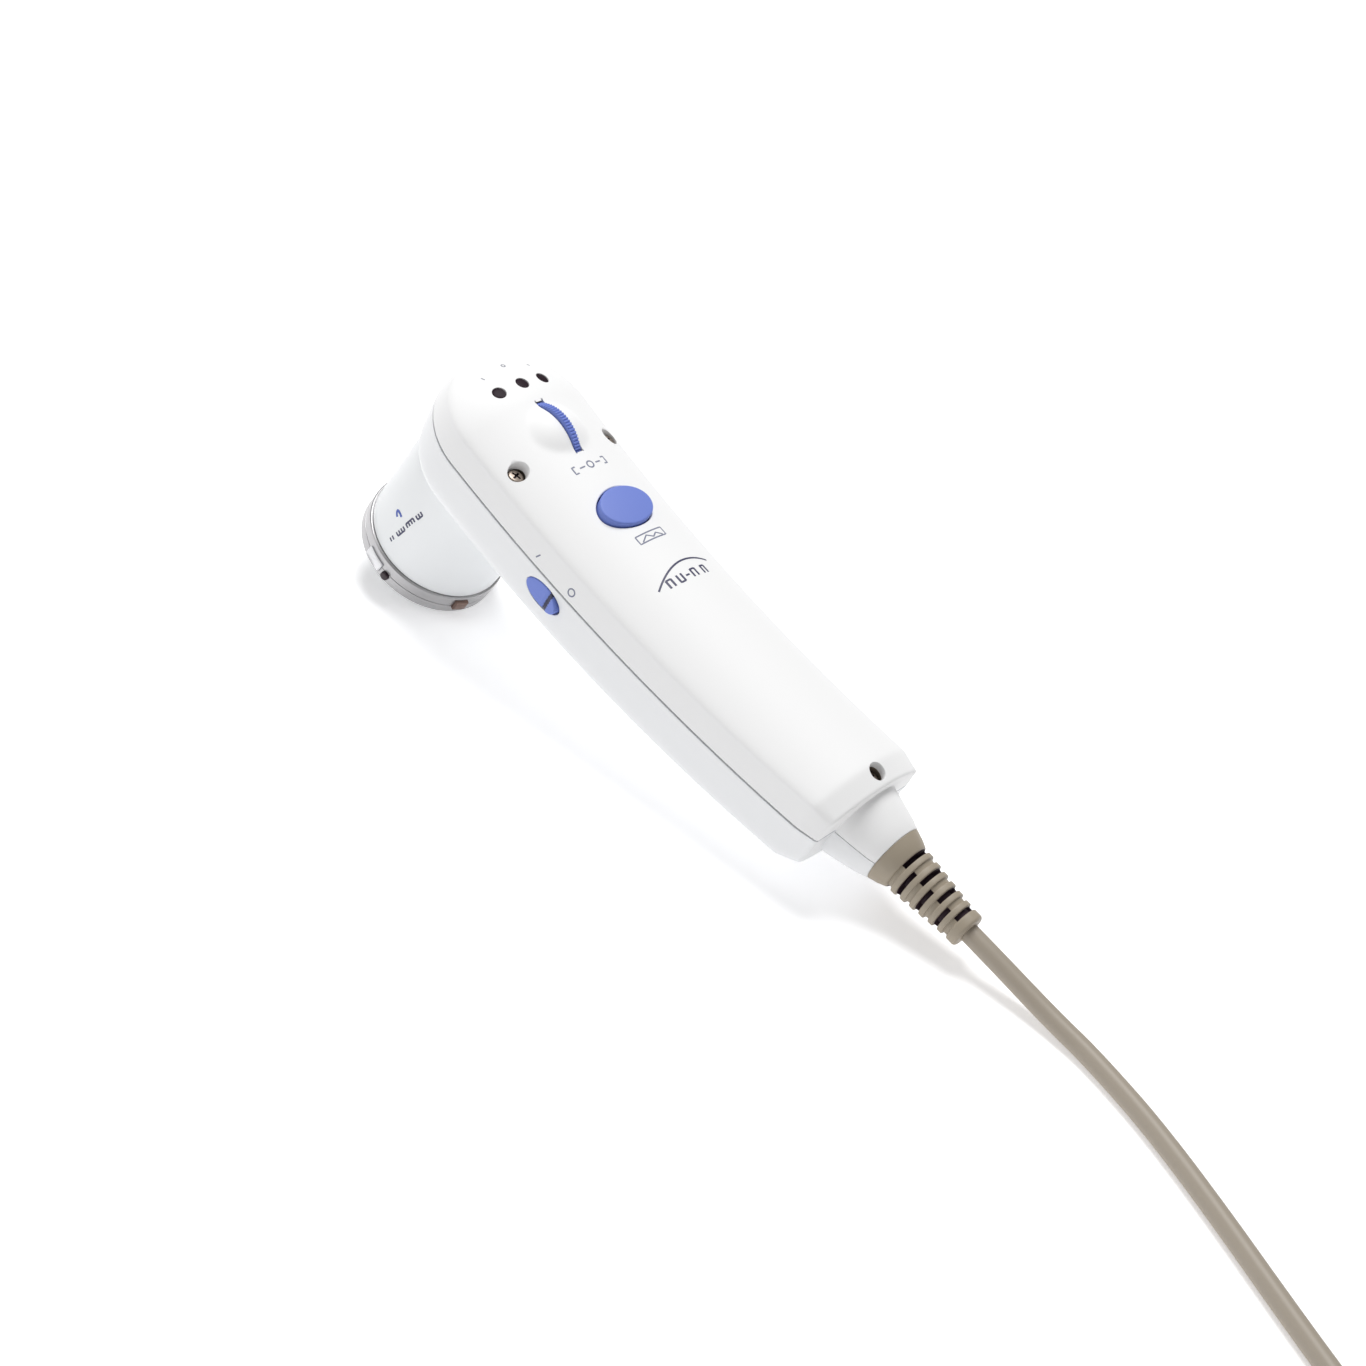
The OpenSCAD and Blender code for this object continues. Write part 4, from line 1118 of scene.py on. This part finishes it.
marks(
    "lamp_ticks", [[(9.6, -7.9), (10.6, -7.6)], ring_line(8.6, 0.5, 0.5, n=12), [(10.2, 7.8), (10.8, 8.3)]],
    on_face, RIM, 0.35,
)
fx = 43.4
marks(
    "focus_mark",
    [
        [(fx + 1.0, -4.6), (fx + 1.0, -5.6), (fx - 1.0, -5.6), (fx - 1.0, -4.6)],
        [(fx + 1.0, 4.6), (fx + 1.0, 5.6), (fx - 1.0, 5.6), (fx - 1.0, 4.6)],
        ring_line(fx, 0, 0.95, n=20),
        [(fx, -3.6), (fx, -1.9)],
        [(fx, 1.9), (fx, 3.6)],
    ],
    on_face, PRINT, 0.4,
)
ix = 67.2
marks(
    "image_mark",
    [
        [(ix - 1.15, -4.6), (ix + 1.15, -4.6), (ix + 1.15, 4.6), (ix - 1.15, 4.6), (ix - 1.15, -4.6)],
        [(ix + 0.9, -3.6), (ix - 0.5, -1.4), (ix + 0.6, 0.4), (ix - 0.2, 1.8), (ix + 0.9, 3.6)],
    ],
    on_face, PRINT, 0.36,
)
marks(
    "swoosh",
    [[(76.6 + 0.03 * (y - 2.5) ** 2 * (1 if y < 2.5 else 0.8), y) for y in np.linspace(-9.6, 11.2, 30)]],
    on_face, PRINT_DARK, 0.5,
)
marks(
    "bars", [[(79.6, y), (82.0, y)] for y in (-6.4, -4.9, -3.0, -1.5, 2.0, 3.6, 6.2, 7.6)], on_face,
    PRINT_DARK, 0.62,
)
marks(
    "bar_links",
    [
        [(79.7, -6.4), (79.7, -4.9)], [(81.9, -3.0), (81.9, -1.5)], [(80.8, -0.4), (80.8, 0.9)],
        [(79.7, 2.0), (79.7, 3.6)], [(79.7, 6.2), (79.7, 7.6)],
    ],
    on_face, PRINT_DARK, 0.5,
)


def on_wall(u, v, h):
    """On the face cover's side, u along the body, v up from the parting line."""
    d = 0.09 + 0.19 * (v - 0.5)
    return (u, -side_w(u) + d - h, parting(u) + v)


marks("on_mark", [[(54.3, 1.9), (54.9, 3.2)]], on_wall, PRINT, 0.35)
marks("off_mark", [ring_line(67.0, 2.7, 0.95, 0.95)], on_wall, PRINT, 0.34)


def on_barrel(a, s, h):
    r = 19.55 - 0.5 * max(0.0, s - 18.2) / 24.5 + h
    g = a / 19.3
    return (r * math.cos(g), r * math.sin(g), s)


def barrel_marks(name, strokes, mat, width):
    verts, faces = [], []
    for pts in strokes:
        v, f = stroke(pts, width, on_barrel)
        faces += [tuple(i + len(verts) for i in g) for g in f]
        verts += v
    piece(name, verts, faces, [mat], space=BARREL)


def along_text(t, up):
    """Point t along the slanted mark on the barrel, up across it, in (arc, s)."""
    a0, s0 = math.radians(96) * 19.3, 37.5
    a1, s1 = math.radians(88) * 19.3, 20.5
    d = np.array([a1 - a0, s1 - s0])
    n = np.array([-d[1], d[0]]) / np.linalg.norm(d)
    return tuple(np.array([a0, s0]) + d * t + n * up)


barrel_marks(
    "barrel_bars",
    [
        [along_text(t, -0.55), along_text(t, 0.55)]
        for t in (0.0, 0.07, 0.2, 0.27, 0.34, 0.41, 0.5, 0.57, 0.64, 0.71, 0.8, 0.87, 0.94)
    ],
    PRINT_DARK, 0.55,
)
barrel_marks(
    "barrel_line",
    [
        [along_text(0.2, -0.55), along_text(0.41, -0.55)], [along_text(0.5, 0.55), along_text(0.71, 0.55)],
        [along_text(0.8, -0.55), along_text(0.94, -0.55)],
    ],
    PRINT_DARK, 0.45,
)
barrel_marks(
    "barrel_arc",
    [[along_text(0.42 + 0.05 * math.cos(t), 3.4 + 1.5 * math.sin(t)) for t in np.linspace(-0.4, 3.0, 14)]],
    PRINT_BLUE, 0.8,
)


# Floor and light ---------------------------------------------------------------------------------
def add_floor():
    mat = material("floor", srgb(252, 252, 253), 0.9, grain=0.0, glow=0.38)
    n, half = 12, 3.0
    verts = [
        (-half + 2 * half * i / n, -half + 2 * half * j / n, 0) for j in range(n + 1) for i in range(n + 1)
    ]
    faces = [
        (j * (n + 1) + i, j * (n + 1) + i + 1, (j + 1) * (n + 1) + i + 1, (j + 1) * (n + 1) + i)
        for j in range(n) for i in range(n)
    ]
    mesh = bpy.data.meshes.new("floor")
    mesh.from_pydata(verts, [], faces)
    mesh.materials.append(mat)
    obj = bpy.data.objects.new("floor", mesh)
    bpy.context.scene.collection.objects.link(obj)


def add_light(name, at, size, power, colour=(1, 1, 1)):
    light = bpy.data.lights.new(name, "AREA")
    light.shape = "DISK"
    light.size = size
    light.energy = power
    light.color = colour
    obj = bpy.data.objects.new(name, light)
    obj.location = at
    obj.rotation_euler = (Vector((0, 0, 0.03)) - Vector(at)).to_track_quat("-Z", "Y").to_euler()
    bpy.context.scene.collection.objects.link(obj)


add_floor()
add_light("key", (-0.3, 0.3, 1.35), 0.8, 16.5)
add_light("fill", (-0.7, -0.8, 0.6), 0.7, 1.8)
world = bpy.data.worlds.new("World")
bpy.context.scene.world = world
world.use_nodes = True
world.node_tree.nodes["Background"].inputs["Color"].default_value = (1.0, 1.0, 1.0, 1)
world.node_tree.nodes["Background"].inputs["Strength"].default_value = 0.34
bpy.context.scene.view_settings.view_transform = "Standard"

write_bounds()
